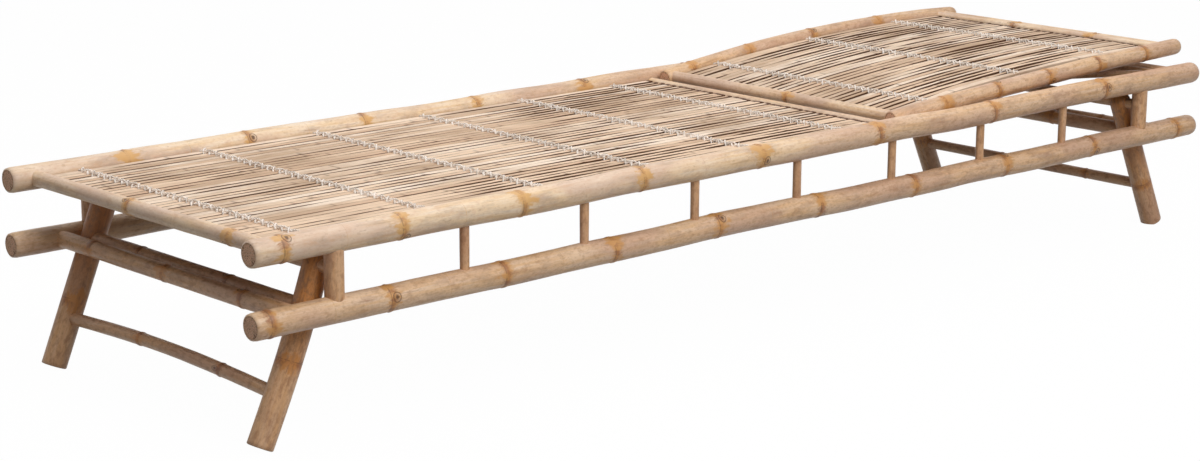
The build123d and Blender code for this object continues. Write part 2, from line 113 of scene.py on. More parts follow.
# The two mats of slats along their own planes, in millimetres. The rows are the place of the first lashing,
# the pitch and the count. Looseness says how far the gaps open, and tight which share of that is left
# where the mat starts.
SLAT_WIDTH = 13.2
SLAT_THICKNESS = 6.0
SLAT_RISE = 4.0
SLAT_INTERNODE = 330.0
CORD_LIFT = 1.4  # height of the middle of a cord over the slats, in radii of a strand
SEAT_SLATS = {
    "count": 37, "start": 50.5, "length": 1165.0, "rows": (103.0, 205.0, 6), "looseness": 1.1, "tight": 0.4,
    "bearer": SEAT_BEARER_RADIUS, "seed": 3,
}
BACKREST_SLATS = {
    "count": 33, "start": 11.5, "length": 674.0, "rows": (91.0, 232.0, 3), "looseness": 1.25, "tight": 0.8,
    "bearer": BACKREST_BEARER_RADIUS, "seed": 4,
}

# Where the nodes of each culm are, in millimetres: the first, the internode after it and the growth of the
# next ones
RINGS = {
    "left_upper_rail": (45.0, 187.0, 18.0),
    "left_lower_rail": (24.0, 188.0, 6.4),
    "right_upper_rail": (188.0, 210.0, 8.0),
    "right_lower_rail": (120.0, 200.0, 8.0),
    "left_backrest_rail": (122.0, 134.0, 0.0),
    "right_backrest_rail": (60.0, 140.0, 20.0),
    "foot_crossbar": (79.0, 233.0, 0.0),
    "head_crossbar": (150.0, 240.0, 0.0),
    "stop_bar": (109.0, 180.0, 0.0),
    "upper_stretcher": (150.0, 210.0, 0.0),
    "lower_stretcher": (110.0, 190.0, 0.0),
    "left_front_leg": (135.0, 300.0, 0.0),
    "right_front_leg": (150.0, 300.0, 0.0),
    "left_rear_leg": (168.0, 300.0, 0.0),
    "right_rear_leg": (160.0, 300.0, 0.0),
    "backrest_hinge_bar": (224.0, 300.0, 0.0),
    "head_bar": (140.0, 170.0, 0.0),
}
NO_RINGS = (-9000.0, 0.0, 0.0)  # one node, too far off the pole to show
SWELL_BASE = 0.3  # level of the swelling curve away from a node, where its crest is 1

# What makes each culm and each row of lashing its own
SEED_STEP = 0.37
SEED_SPAN = 11.0
ROW_SEED_STEP = 41.0

# How brown a culm is, from 0 where it is bleached to 1. A pair has the far end's tone too.
BAR_TONE = 0.6
# The legs are browner over their top third: partly their own stain, partly painted shade under the seat
LEG_TONES_AND_TOP_SHADE = (1.0, 0.6)
RAIL_TONES = {"upper": (0.0, 0.4), "lower": (0.32, 0.4)}
BACKREST_RAIL_TONE = 0.35
HINGE_BAR_TONE = 0.15
HEAD_BAR_TONE = 0.1
FOOT_CROSSBAR_TONE = 0.1
SEAT_END_BAR_TONE = 0.2

# The stage, in metres and degrees
CAMERA_PLACE = (-2.7533, -2.8030, 1.0244)
CAMERA_YAW = 42.96
CAMERA_PITCH = -13.36
CAMERA_ROLL = 0.32
CAMERA_REACH = 100.0
SENSOR_WIDTH = 36.0  # in millimetres, like the lens
LAMP_TARGET = (0.0, 0.0, 0.2)
KEY_PLACE = (-0.6, -2.8, 2.9)
KEY_SIZE = 2.2
TOP_PLACE = (0.0, 0.4, 3.2)
TOP_SIZE = 3.6
FLOOR_HALF = 9.0
WHITE = (1.0, 1.0, 1.0, 1.0)
FLOOR_WHITE = 0.985  # share of plain white in the floor that the camera sees
SKY_WHITE = 0.987  # as bright as that floor is lit, so that no line shows between them


def linear(hex_colour):
    """An sRGB hex colour as linear red, green, blue and alpha."""
    values = []
    for place in (1, 3, 5):
        value = int(hex_colour[place:place + 2], 16) / 255
        values.append(value / 12.92 if value <= 0.04045 else ((value + 0.055) / 1.055) ** 2.4)
    return (*values, 1.0)


def colour_property(name, description, hex_colour):
    """A colour that a user may change."""
    return bpy.props.FloatVectorProperty(
        name=name, description=description, subtype="COLOR", size=4, min=0.0, max=1.0,
        default=linear(hex_colour),
    )


def length_property(name, description, millimetres):
    """A length that a user may change, in metres with its default given in millimetres."""
    return bpy.props.FloatProperty(
        name=name, description=description, unit="LENGTH", default=millimetres * MM, min=0.0, precision=5
    )


class CulmSettings(bpy.types.PropertyGroup):
    """Sizes and colours of the round bamboo poles."""

    ring_height: length_property("Ring height", "How far a node stands out of the culm", 0.9)
    wander: length_property("Wander", "How far a long culm strays up and down", 3.0)
    sample: length_property("Step", "Length of one step along a culm", 3.0)
    pale: colour_property("Pale", "Bleached skin of a peeled culm", "#f1dfca")
    tan: colour_property("Tan", "Usual skin of a peeled culm", "#e8c9a0")
    brown: colour_property("Brown", "Streaks and fibres", "#a97e57")
    faded: colour_property("Faded", "Pinkish stretches", "#d3b5a2")
    rosy: colour_property("Rosy", "Mottling", "#cb9c76")
    aged: colour_property("Aged", "Tint of the browner poles", "#dcaa72")
    grey: colour_property("Grey", "Weathered patches", "#b79d88")
    stain: colour_property("Stain", "Spots on the browner poles", "#8a6446")
    ring: colour_property("Ring", "Stained band at a node", "#d3a15e")
    blotch: colour_property("Blotch", "Reddish stains next to a node", "#a56a36")
    scar: colour_property("Scar", "Sheath scars and branch knots", "#57371d")
    pith: colour_property("Pith", "Cut end of a culm", "#eab794")


class SlatSettings(bpy.types.PropertyGroup):
    """Sizes and colours of the split bamboo slats."""

    unevenness: length_property("Unevenness", "How far a slat's edge strays", 0.8)
    opening: length_property("Opening", "How far the edges of a slat draw in where a gap opens", 3.9)
    pale: colour_property("Pale", "Palest slats", "#f7e3cf")
    rosy: colour_property("Rosy", "Usual slats", "#ebceb2")
    tan: colour_property("Tan", "Darkest slats", "#d4b396")
    grey: colour_property("Grey", "Weathered patches", "#b6987c")
    # Dark also paints the shade in open gaps between slats and at the slats' head ends
    dark: colour_property("Dark", "Split edges and fibres", "#4a2810")


class LashingSettings(bpy.types.PropertyGroup):
    """Size and colour of the cord."""

    strand: length_property("Strand", "Radius of one of the two strands of the cord", 0.9)
    sway: length_property("Sway", "How far a stitch slants to each side of its row", 5.6)
    cord: colour_property("Cord", "Off-white cotton", "#fbf1e8")


class StageSettings(bpy.types.PropertyGroup):
    """The floor, the lamps and the camera."""

    floor: colour_property("Floor", "Pale floor", "#f4f2ef")
    key_power: bpy.props.FloatProperty(
        name="Key", description="Power of the main lamp in watts", default=92.0
    )
    top_power: bpy.props.FloatProperty(
        name="Top", description="Power of the lamp overhead in watts", default=64.0
    )
    sky: bpy.props.FloatProperty(
        name="Sky", description="Strength of the light from all round", default=0.18
    )
    bounce: bpy.props.FloatProperty(
        name="Bounce", description="Share of the light that the floor sends back up", default=0.35
    )
    lens: bpy.props.FloatProperty(
        name="Lens", description="Focal length in millimetres", default=76.43
    )


def add_node(tree, kind, inputs=None, stops=None, points=None, **settings):
    """A node with its settings, its inputs linked or set, and its ramp's or curve's points."""
    node = tree.nodes.new(kind)
    for name, value in settings.items():
        setattr(node, name, value)
    for key, value in (inputs or {}).items():
        socket = node.inputs[key]
        if isinstance(value, bpy.types.Node):
            tree.links.new(value.outputs[0], socket)
        elif isinstance(value, bpy.types.NodeSocket):
            tree.links.new(value, socket)
        else:
            socket.default_value = value
    if stops:
        elements = node.color_ramp.elements
        while len(elements) < len(stops):
            elements.new(0.5)
        for element, (position, colour) in zip(elements, stops):
            element.position = position
            element.color = colour
    if points:
        curve = node.mapping.curves[0]
        while len(curve.points) < len(points):
            curve.points.new(0.5, 0.5)
        for point, place in zip(curve.points, points):
            point.location = place
        node.mapping.update()
    return node


def new_tree(name, inputs):
    """A geometry tree with the named inputs, and the sockets that give them."""
    tree = bpy.data.node_groups.new(name, "GeometryNodeTree")
    tree.interface.new_socket("Geometry", in_out="OUTPUT", socket_type="NodeSocketGeometry")
    for label, kind in inputs.items():
        tree.interface.new_socket(label, in_out="INPUT", socket_type=f"NodeSocket{kind}")
    return tree, add_node(tree, "NodeGroupInput").outputs


def new_material(name):
    """An empty node material and its tree."""
    material = bpy.data.materials.new(name)
    material.use_nodes = True
    material.node_tree.nodes.clear()
    return material, material.node_tree


def coat(tree, inputs):
    """Ends a material's tree with its shader, given the shader's inputs."""
    shader = add_node(tree, "ShaderNodeBsdfPrincipled", inputs)
    add_node(tree, "ShaderNodeOutputMaterial", {"Surface": shader})


def grow(tree, name, values):
    """Runs a geometry tree once and returns its result as an object with a plain mesh."""
    piece = bpy.data.objects.new(name, bpy.data.meshes.new(name))
    bpy.context.scene.collection.objects.link(piece)
    modifier = piece.modifiers.new("Shape", "NODES")
    modifier.node_group = tree
    for socket in tree.interface.items_tree:
        if socket.in_out == "INPUT":
            modifier[socket.identifier] = values[socket.name]
    depsgraph = bpy.context.evaluated_depsgraph_get()
    grown = bpy.data.meshes.new_from_object(
        piece.evaluated_get(depsgraph), preserve_all_data_layers=True, depsgraph=depsgraph
    )
    if not grown.polygons:
        raise RuntimeError(f"{name} has no faces")
    piece.modifiers.clear()
    piece.data = grown
    grown.name = name
    return piece


def join(pieces, name):
    """Joins several grown objects into the first one."""
    if len(pieces) > 1:
        with bpy.context.temp_override(
            active_object=pieces[0], selected_objects=pieces, selected_editable_objects=pieces
        ):
            bpy.ops.object.join()
    pieces[0].name = name
    return pieces[0]


def settle(piece, body, nodes):
    """Fixes a finished piece to its body, in the place of its solids."""
    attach(piece, body)
    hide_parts(*nodes)


# Materials


def bamboo_skin():
    """Peeled bamboo, scraped and sun-bleached: a satin skin of fine lengthwise fibres, tan with faded
    stretches and bleached and grey patches. Each node has a ragged stained band, a broken sheath scar and a
    branch knot on one side, and a few specks lie between the nodes."""
    colours = bpy.context.scene.lounger_culms
    material, tree = new_material("Peeled bamboo")
    grain = add_node(tree, "ShaderNodeAttribute", attribute_name="grain").outputs["Vector"]
    node_gap, tone, knot = (
        add_node(tree, "ShaderNodeAttribute", attribute_name=name).outputs["Fac"]
        for name in ("node_gap", "tone", "knot")
    )

    # In repeats a metre: streaks 5 mm wide and 90 mm long, fibres a fifth as wide, drawn coarse enough to
    # show, faded stretches of 60 by 200 mm, weathered patches of 20 by 70 mm and mottling of 7 by 12 mm
    noises = []
    for scale, detail, roughness in (
        ((200.0, 200.0, 11.0), 4.0, 0.6),
        ((1000.0, 1000.0, 30.0), 3.0, 0.55),
        ((16.0, 16.0, 5.0), 3.0, 0.5),
        ((48.0, 48.0, 14.0), 5.0, 0.68),
        ((150.0, 150.0, 80.0), 4.0, 0.65),
    ):
        place = add_node(tree, "ShaderNodeMapping", {"Vector": grain, "Scale": scale})
        noises.append(add_node(
            tree, "ShaderNodeTexNoise",
            {"Vector": place, "Scale": 1.0, "Detail": detail, "Roughness": roughness},
        ))
    streaks, fibres, stretches, patches, mottle = noises
    colour = add_node(
        tree, "ShaderNodeValToRGB", {"Fac": streaks},
        stops=[(0.12, colours.brown), (0.40, colours.tan), (0.74, colours.pale)],
    )
    # What lies over the streaks, from the first to the last: its noise, where it starts, where it is full
    # and how much of its colour it gives there
    for noise, start, full, share, tint in (
        (stretches, 0.46, 0.60, 0.70, colours.faded),
        (patches, 0.54, 0.74, 0.65, colours.pale),
        (patches, 0.50, 0.32, 0.72, colours.grey),
        (mottle, 0.51, 0.70, 0.42, colours.rosy),
        (mottle, 0.44, 0.30, 0.38, colours.brown),
        (fibres, 0.54, 0.80, 0.22, colours.brown),
        (streaks, 0.66, 0.72, 0.45, colours.brown),
    ):
        cover = add_node(
            tree, "ShaderNodeMapRange", {"Value": noise, "From Min": start, "From Max": full, "To Max": share}
        )
        colour = add_node(tree, "ShaderNodeMix", {0: cover, 6: colour, 7: tint}, data_type="RGBA").outputs[2]

    # The stained band reaches up to about 25 mm from a node, and is missing in places
    gap_size = add_node(tree, "ShaderNodeMath", {0: node_gap}, operation="ABSOLUTE")
    ragged = gap_size
    for noise, share in ((patches, 85 * MM), (mottle, 40 * MM)):
        ragged = add_node(tree, "ShaderNodeMath", {0: noise, 1: share, 2: ragged}, operation="MULTIPLY_ADD")
    band = add_node(
        tree, "ShaderNodeMapRange",
        {"Value": ragged, "From Min": 77.5 * MM, "From Max": 64 * MM, "To Max": 0.88},
        interpolation_type="SMOOTHSTEP",
    )
    # Within it, reddish blotches lie next to the node
    blotched = gap_size
    for noise, share in ((mottle, -40 * MM), (patches, -45 * MM)):
        blotched = add_node(
            tree, "ShaderNodeMath", {0: noise, 1: share, 2: blotched}, operation="MULTIPLY_ADD"
        )
    blotch = add_node(
        tree, "ShaderNodeMapRange",
        {"Value": blotched, "From Min": -36 * MM, "From Max": -47 * MM, "To Max": 0.8},
    )
    # The sheath scar comes and goes round the culm
    scar_place = add_node(tree, "ShaderNodeMath", {0: node_gap, 1: 3 * MM}, operation="ADD")
    scar_gap = add_node(tree, "ShaderNodeMath", {0: scar_place}, operation="ABSOLUTE")
    scar_width = add_node(
        tree, "ShaderNodeMapRange",
        {"Value": patches, "From Min": 0.44, "From Max": 0.64, "To Max": 3.2 * MM},
    )
    scar = add_node(
        tree, "ShaderNodeMapRange",
        {"Value": scar_gap, "From Min": scar_width, "From Max": 0.0, "To Max": 0.55},
    )
    # A branch knot about 13 mm across sits just above the scar: a dark heart, a pale ring and a dark rim
    knot_place = add_node(tree, "ShaderNodeMath", {0: node_gap, 1: 6 * MM}, operation="SUBTRACT")
    knot_along = add_node(tree, "ShaderNodeMath", {0: knot_place, 1: 6.5 * MM}, operation="DIVIDE")
    knot_along = add_node(tree, "ShaderNodeMath", {0: knot_along, 1: 2.0}, operation="POWER")
    knot_aside = add_node(tree, "ShaderNodeMath", {0: 1.0, 1: knot}, operation="SUBTRACT")
    knot_gap = add_node(
        tree, "ShaderNodeMath", {0: knot_aside, 1: 1 / 0.075, 2: knot_along}, operation="MULTIPLY_ADD"
    )
    knot_gap = add_node(tree, "ShaderNodeMath", {0: mottle, 1: 0.5, 2: knot_gap}, operation="MULTIPLY_ADD")
    knot_share = add_node(
        tree, "ShaderNodeMapRange", {"Value": knot_gap, "From Min": 0.22, "From Max": 1.5}
    )
    knot_mark = add_node(
        tree, "ShaderNodeFloatCurve", {"Value": knot_share},
        points=[(0.0, 0.95), (0.14, 0.85), (0.3, 0.25), (0.55, 0.2), (0.72, 0.7), (1.0, 0.0)],
    )
    # Specks up to 5 mm across, in one of six squares of 33 mm
    cells = add_node(tree, "ShaderNodeTexVoronoi", {"Vector": grain, "Scale": 30.0})
    speck = add_node(
        tree, "ShaderNodeMapRange",
        {"Value": cells.outputs["Distance"], "From Min": 0.08, "From Max": 0.03, "To Max": 0.75},
    )
    chance = add_node(tree, "ShaderNodeSeparateColor", {0: cells.outputs["Color"]})
    chosen = add_node(tree, "ShaderNodeMath", {0: chance, 1: 0.83}, operation="GREATER_THAN")
    speck = add_node(tree, "ShaderNodeMath", {0: speck, 1: chosen}, operation="MULTIPLY")
    marks = add_node(tree, "ShaderNodeMath", {0: scar, 1: knot_mark}, operation="MAXIMUM")
    marks = add_node(tree, "ShaderNodeMath", {0: marks, 1: speck}, operation="MAXIMUM")
    for cover, tint in ((band, colours.ring), (blotch, colours.blotch), (marks, colours.scar)):
        colour = add_node(tree, "ShaderNodeMix", {0: cover, 6: colour, 7: tint}, data_type="RGBA").outputs[2]
    # Poles with a higher tone are browner all over and stained in spots; on the tops of the legs that brown is
    # partly painted shade under the seat
    colour = add_node(
        tree, "ShaderNodeMix", {0: tone, 6: colour, 7: colours.aged}, data_type="RGBA", blend_type="MULTIPLY"
    ).outputs[2]
    stains = add_node(
        tree, "ShaderNodeMapRange", {"Value": mottle, "From Min": 0.47, "From Max": 0.66, "To Max": 0.75}
    )
    stains = add_node(tree, "ShaderNodeMath", {0: stains, 1: tone}, operation="MULTIPLY")
    colour = add_node(
        tree, "ShaderNodeMix", {0: stains, 6: colour, 7: colours.stain}, data_type="RGBA"
    ).outputs[2]
    sheen = add_node(
        tree, "ShaderNodeMapRange",
        {"Value": streaks, "From Min": 0.3, "From Max": 0.7, "To Min": 0.54, "To Max": 0.40},
    )
    relief = add_node(tree, "ShaderNodeBump", {"Height": fibres, "Strength": 0.35, "Distance": 0.6 * MM})
    coat(tree, {"Base Color": colour, "Roughness": sheen, "IOR": 1.5, "Normal": relief})
    return material


def bamboo_end():
    """Sawn bamboo end: tan pith with pores and a few drying checks, a stained edge and no shine."""
    colours = bpy.context.scene.lounger_culms
    material, tree = new_material("Sawn bamboo end")
    place = add_node(tree, "ShaderNodeAttribute", attribute_name="disc").outputs["Vector"]
    distance = add_node(tree, "ShaderNodeVectorMath", {0: place}, operation="LENGTH").outputs["Value"]
    flat = add_node(tree, "ShaderNodeMapping", {"Vector": place, "Scale": (14.0, 14.0, 14.0)})
    pores = add_node(
        tree, "ShaderNodeTexNoise", {"Vector": flat, "Scale": 1.0, "Detail": 5.0, "Roughness": 0.7}
    )
    pith = add_node(
        tree, "ShaderNodeValToRGB", {"Fac": pores},
        stops=[(0.36, linear("#9c6a45")), (0.5, colours.pith), (0.64, linear("#fae2cc"))],
    )
    # The edge is stained unevenly
    stained = add_node(tree, "ShaderNodeMath", {0: pores, 1: 0.45, 2: distance}, operation="MULTIPLY_ADD")
    rim = add_node(
        tree, "ShaderNodeMapRange", {"Value": stained, "From Min": 1.06, "From Max": 1.26, "To Max": 0.7}
    )
    rimmed = add_node(
        tree, "ShaderNodeMix", {0: rim, 6: pith, 7: colours.stain}, data_type="RGBA"
    ).outputs[2]
    # Drying checks run out from the middle, crooked by the pores
    crooked = add_node(
        tree, "ShaderNodeVectorMath", {0: pores.outputs["Color"], "Scale": 0.3}, operation="SCALE"
    )
    crooked = add_node(tree, "ShaderNodeVectorMath", {0: place, 1: crooked}, operation="ADD")
    outward = add_node(tree, "ShaderNodeVectorMath", {0: crooked}, operation="NORMALIZE")
    fans = add_node(tree, "ShaderNodeTexNoise", {"Vector": outward, "Scale": 2.2, "Detail": 1.0})
    off_check = add_node(tree, "ShaderNodeMath", {0: fans, 1: 0.5}, operation="SUBTRACT")
    off_check = add_node(tree, "ShaderNodeMath", {0: off_check}, operation="ABSOLUTE")
    checks = add_node(
        tree, "ShaderNodeMapRange", {"Value": off_check, "From Min": 0.022, "From Max": 0.006, "To Max": 0.8}
    )
    checked = add_node(
        tree, "ShaderNodeMix", {0: checks, 6: rimmed, 7: linear("#3f2c1c")}, data_type="RGBA"
    ).outputs[2]
    relief = add_node(tree, "ShaderNodeBump", {"Height": pores, "Strength": 0.6, "Distance": 1.5 * MM})
    coat(tree, {"Base Color": checked, "Roughness": 0.9, "Normal": relief})
    return material


def split_bamboo():
    """Split bamboo, planed by hand: dull beige to rosy strips, each its own shade, with grey weathered
    patches, darker split edges, fine fibres and a faint line at each node. The edges also carry painted shade
    where a gap opens, and the head ends carry painted shade at their bar."""
    colours = bpy.context.scene.lounger_slats
    material, tree = new_material("Split bamboo")
    grain = add_node(tree, "ShaderNodeAttribute", attribute_name="grain").outputs["Vector"]
    slat, edge, gap_share, node_gap = (
        add_node(tree, "ShaderNodeAttribute", attribute_name=name).outputs["Fac"]
        for name in ("slat", "edge", "gap_share", "node_gap")
    )

    # Fibres about 1 mm wide and 40 mm long, drawn coarse enough to show
    fine = add_node(tree, "ShaderNodeMapping", {"Vector": grain, "Scale": (700.0, 700.0, 18.0)})
    fibres = add_node(
        tree, "ShaderNodeTexNoise", {"Vector": fine, "Scale": 1.0, "Detail": 4.0, "Roughness": 0.6}
    )
    # Weathered patches about 120 mm long that cross from slat to slat
    position = add_node(tree, "ShaderNodeTexCoord").outputs["Object"]
    large = add_node(
        tree, "ShaderNodeMapping",
        {"Vector": position, "Location": (3.3, 1.7, 0.0), "Scale": (5.0, 13.0, 5.0)},
    )
    patches = add_node(
        tree, "ShaderNodeTexNoise", {"Vector": large, "Scale": 1.0, "Detail": 4.0, "Roughness": 0.62}
    )
    colour = add_node(
        tree, "ShaderNodeValToRGB", {"Fac": slat},
        stops=[
            (0.0, colours.tan), (0.3, colours.rosy), (0.6, colours.pale), (0.85, colours.rosy),
            (1.0, colours.tan),
        ],
    )
    weather = add_node(
        tree, "ShaderNodeMapRange", {"Value": patches, "From Min": 0.43, "From Max": 0.66, "To Max": 0.85}
    )
    fibre_share = add_node(
        tree, "ShaderNodeMapRange", {"Value": fibres, "From Min": 0.5, "From Max": 0.8, "To Max": 0.36}
    )
    # A split edge is a little darker in its own colour, and much darker as painted shade where a gap opens and at
    # the head end
    edge_and_gap_shade_strength = add_node(
        tree, "ShaderNodeMapRange", {"Value": gap_share, "From Max": 0.25, "To Min": 0.35, "To Max": 0.98}
    )
    edge_colour_and_gap_shade = add_node(
        tree, "ShaderNodeMapRange", {"Value": edge, "From Min": 0.84, "From Max": 0.96, "To Max": edge_and_gap_shade_strength}
    )
    gap_size = add_node(tree, "ShaderNodeMath", {0: node_gap}, operation="ABSOLUTE")
    line = add_node(
        tree, "ShaderNodeMapRange",
        {"Value": gap_size, "From Min": 4.2 * MM, "From Max": 0.4 * MM, "To Max": 0.42},
    )
    for cover, tint in (
        (weather, colours.grey), (fibre_share, colours.dark), (edge_colour_and_gap_shade, colours.dark),
        (line, colours.dark),
    ):
        colour = add_node(tree, "ShaderNodeMix", {0: cover, 6: colour, 7: tint}, data_type="RGBA").outputs[2]
    relief = add_node(tree, "ShaderNodeBump", {"Height": fibres, "Strength": 0.5, "Distance": 0.8 * MM})
    coat(tree, {
        "Base Color": colour, "Roughness": 0.66, "IOR": 1.48, "Specular IOR Level": 0.25, "Normal": relief,
    })
    return material


def cotton_cord():
    """Undyed cotton cord, laid from two strands: dull off-white, soiled unevenly."""
    colours = bpy.context.scene.lounger_lashings
    material, tree = new_material("Cotton cord")
    position = add_node(tree, "ShaderNodeTexCoord").outputs["Object"]
    # Soiling in spots about 9 mm across, and fluff too fine to show but as a soft edge
    spots = add_node(
        tree, "ShaderNodeTexNoise", {"Vector": position, "Scale": 110.0, "Detail": 3.0, "Roughness": 0.6}
    )
    soiled = add_node(
        tree, "ShaderNodeValToRGB", {"Fac": spots},
        stops=[(0.38, linear("#d8cabd")), (0.58, colours.cord)],
    )
    coat(tree, {"Base Color": soiled, "Roughness": 0.95, "Sheen Weight": 0.3})
    return material


def sawn_wood():
    """Sawn hardwood strip, oiled: dark brown with straight grain along the strip."""
    material, tree = new_material("Sawn hardwood")
    position = add_node(tree, "ShaderNodeTexCoord").outputs["Object"]
    # Grain about 2 mm wide along the lounger
    along = add_node(tree, "ShaderNodeMapping", {"Vector": position, "Scale": (12.0, 500.0, 500.0)})
    grain = add_node(
        tree, "ShaderNodeTexNoise", {"Vector": along, "Scale": 1.0, "Detail": 4.0, "Roughness": 0.6}
    )
    wood = add_node(
        tree, "ShaderNodeValToRGB", {"Fac": grain},
        stops=[(0.35, linear("#352214")), (0.65, linear("#5c3f29"))],
    )
    relief = add_node(tree, "ShaderNodeBump", {"Height": grain, "Strength": 0.4, "Distance": 0.6 * MM})
    coat(tree, {"Base Color": wood, "Roughness": 0.7, "Normal": relief})
    return material


def drawn_steel():
    """Plain drawn steel rod: grey metal that is a little duller in spots about 11 mm across."""
    material, tree = new_material("Drawn steel")
    position = add_node(tree, "ShaderNodeTexCoord").outputs["Object"]
    spots = add_node(
        tree, "ShaderNodeTexNoise", {"Vector": position, "Scale": 90.0, "Detail": 4.0, "Roughness": 0.6}
    )
    steel = add_node(
        tree, "ShaderNodeValToRGB", {"Fac": spots},
        stops=[(0.4, linear("#7d7a76")), (0.6, linear("#a9a7a3"))],
    )
    dullness = add_node(tree, "ShaderNodeMapRange", {"Value": spots, "To Min": 0.3, "To Max": 0.55})
    coat(tree, {"Base Color": steel, "Roughness": dullness, "Metallic": 1.0})
    return material


# Geometry trees


def culm_tree():
    """A culm along a straight line: it strays a little, swells at its nodes and is sawn off at its ends."""
    tree, given = new_tree("Bamboo culm", {
        "Start": "Vector", "End": "Vector", "Lead": "Float", "Radius": "Float", "First node": "Float",
        "Internode": "Float", "Growth": "Float", "Node count": "Int", "Ring height": "Float",
        "Wander": "Float", "Taper": "Float", "Bow": "Vector", "Step": "Float", "Seed": "Float",
        "Tone": "Float", "Far tone": "Float", "Skin": "Material", "Sawn end": "Material",
    })
    span = add_node(tree, "ShaderNodeVectorMath", {0: given["End"], 1: given["Start"]}, operation="SUBTRACT")
    way = add_node(tree, "ShaderNodeVectorMath", {0: span}, operation="NORMALIZE")
    lead = add_node(tree, "ShaderNodeVectorMath", {0: way, "Scale": given["Lead"]}, operation="SCALE")
    top = add_node(tree, "ShaderNodeVectorMath", {0: given["Start"], 1: lead}, operation="SUBTRACT")
    line = add_node(tree, "GeometryNodeCurvePrimitiveLine", {"Start": top, "End": given["End"]})
    axis = add_node(
        tree, "GeometryNodeResampleCurve", {"Curve": line, "Length": given["Step"]}, mode="LENGTH"
    )

    # The second and the last but one point move next to the ends, which are worn round
    spline = add_node(tree, "GeometryNodeSplineParameter")
    spline_length = add_node(tree, "GeometryNodeSplineLength")
    last_but_one = add_node(
        tree, "ShaderNodeMath", {0: spline_length.outputs["Point Count"], 1: 2.0}, operation="SUBTRACT"
    )
    bevel = add_node(tree, "ShaderNodeVectorMath", {0: way, "Scale": 0.9 * MM}, operation="SCALE")
    square = add_node(tree, "ShaderNodeMath", {0: given["Lead"], 1: 0.1 * MM}, operation="LESS_THAN")
    is_second = add_node(
        tree, "ShaderNodeMath", {0: spline.outputs["Index"], 1: 1.0, 2: 0.1}, operation="COMPARE"
    )
    is_next = add_node(tree, "ShaderNodeMath", {0: is_second, 1: square}, operation="MULTIPLY")
    near_top = add_node(tree, "ShaderNodeVectorMath", {0: top, 1: bevel}, operation="ADD")
    near_end = add_node(tree, "ShaderNodeVectorMath", {0: given["End"], 1: bevel}, operation="SUBTRACT")
    is_late = add_node(
        tree, "ShaderNodeMath", {0: spline.outputs["Index"], 1: last_but_one, 2: 0.1}, operation="COMPARE"
    )
    for moved, spot in ((is_next, near_top), (is_late, near_end)):
        axis = add_node(
            tree, "GeometryNodeSetPosition", {"Geometry": axis, "Selection": moved, "Position": spot}
        )

    # Nodes of the bamboo, as points on the axis
    number = add_node(tree, "GeometryNodeInputIndex")
    before = add_node(tree, "ShaderNodeMath", {0: number, 1: 1.0}, operation="SUBTRACT")
    pairs = add_node(tree, "ShaderNodeMath", {0: number, 1: before}, operation="MULTIPLY")
    half_pairs = add_node(tree, "ShaderNodeMath", {0: pairs, 1: 0.5}, operation="MULTIPLY")
    even = add_node(
        tree, "ShaderNodeMath", {0: number, 1: given["Internode"], 2: given["First node"]},
        operation="MULTIPLY_ADD",
    )
    reach = add_node(
        tree, "ShaderNodeMath", {0: half_pairs, 1: given["Growth"], 2: even}, operation="MULTIPLY_ADD"
    )
    up_to = add_node(tree, "ShaderNodeVectorMath", {0: way, "Scale": reach}, operation="SCALE")
    place = add_node(tree, "ShaderNodeVectorMath", {0: given["Start"], 1: up_to}, operation="ADD")
    nodes = add_node(tree, "GeometryNodePoints", {"Count": given["Node count"], "Position": place})
    nearest = add_node(tree, "GeometryNodeProximity", {"Geometry": nodes}, target_element="POINTS")
    here = add_node(tree, "GeometryNodeInputPosition")
    off = add_node(
        tree, "ShaderNodeVectorMath", {0: here, 1: nearest.outputs["Position"]}, operation="SUBTRACT"
    )
    gap = add_node(tree, "ShaderNodeVectorMath", {0: off, 1: way}, operation="DOT_PRODUCT")
    nearest_number = add_node(tree, "GeometryNodeSampleNearest", {"Geometry": nodes}, domain="POINT")
    for name, value in (
        ("node_gap", gap.outputs["Value"]), ("along", spline.outputs["Length"]),
        ("node_number", nearest_number),
    ):
        axis = add_node(
            tree, "GeometryNodeStoreNamedAttribute", {"Geometry": axis, "Name": name, "Value": value},
            data_type="FLOAT", domain="POINT",
        )

    # A node swells over about 24 mm, with a shallow groove at its sheath scar
    share = add_node(
        tree, "ShaderNodeMapRange",
        {"Value": gap.outputs["Value"], "From Min": -12 * MM, "From Max": 12 * MM},
    )
    swell = add_node(
        tree, "ShaderNodeFloatCurve", {"Value": share},
        points=[
            (0.0, SWELL_BASE), (0.3, 0.32), (0.37, 0.02), (0.43, 0.35), (0.52, 1.0), (0.6, 0.85),
            (0.75, 0.36), (1.0, SWELL_BASE),
        ],
    )
    above = add_node(tree, "ShaderNodeMath", {0: swell, 1: SWELL_BASE}, operation="SUBTRACT")
    ring = add_node(tree, "ShaderNodeMath", {0: above, 1: given["Ring height"]}, operation="MULTIPLY")
    # Lumps about 110 mm long make it up to 0.25 mm thicker or thinner
    travel = add_node(
        tree, "ShaderNodeMath", {0: spline.outputs["Length"], 1: given["Seed"]}, operation="ADD"
    )
    lumps = add_node(
        tree, "ShaderNodeTexNoise", {"W": travel, "Scale": 9.0, "Detail": 2.0}, noise_dimensions="1D"
    )
    lump = add_node(
        tree, "ShaderNodeMapRange",
        {"Value": lumps, "From Min": 0.2, "From Max": 0.8, "To Min": -0.25 * MM, "To Max": 0.25 * MM},
    )
    thick = add_node(tree, "ShaderNodeMath", {0: given["Radius"], 1: ring}, operation="ADD")
    thick = add_node(tree, "ShaderNodeMath", {0: thick, 1: lump}, operation="ADD")
    thick = add_node(
        tree, "ShaderNodeMath", {0: spline.outputs["Factor"], 1: given["Taper"], 2: thick},
        operation="MULTIPLY_ADD",
    )
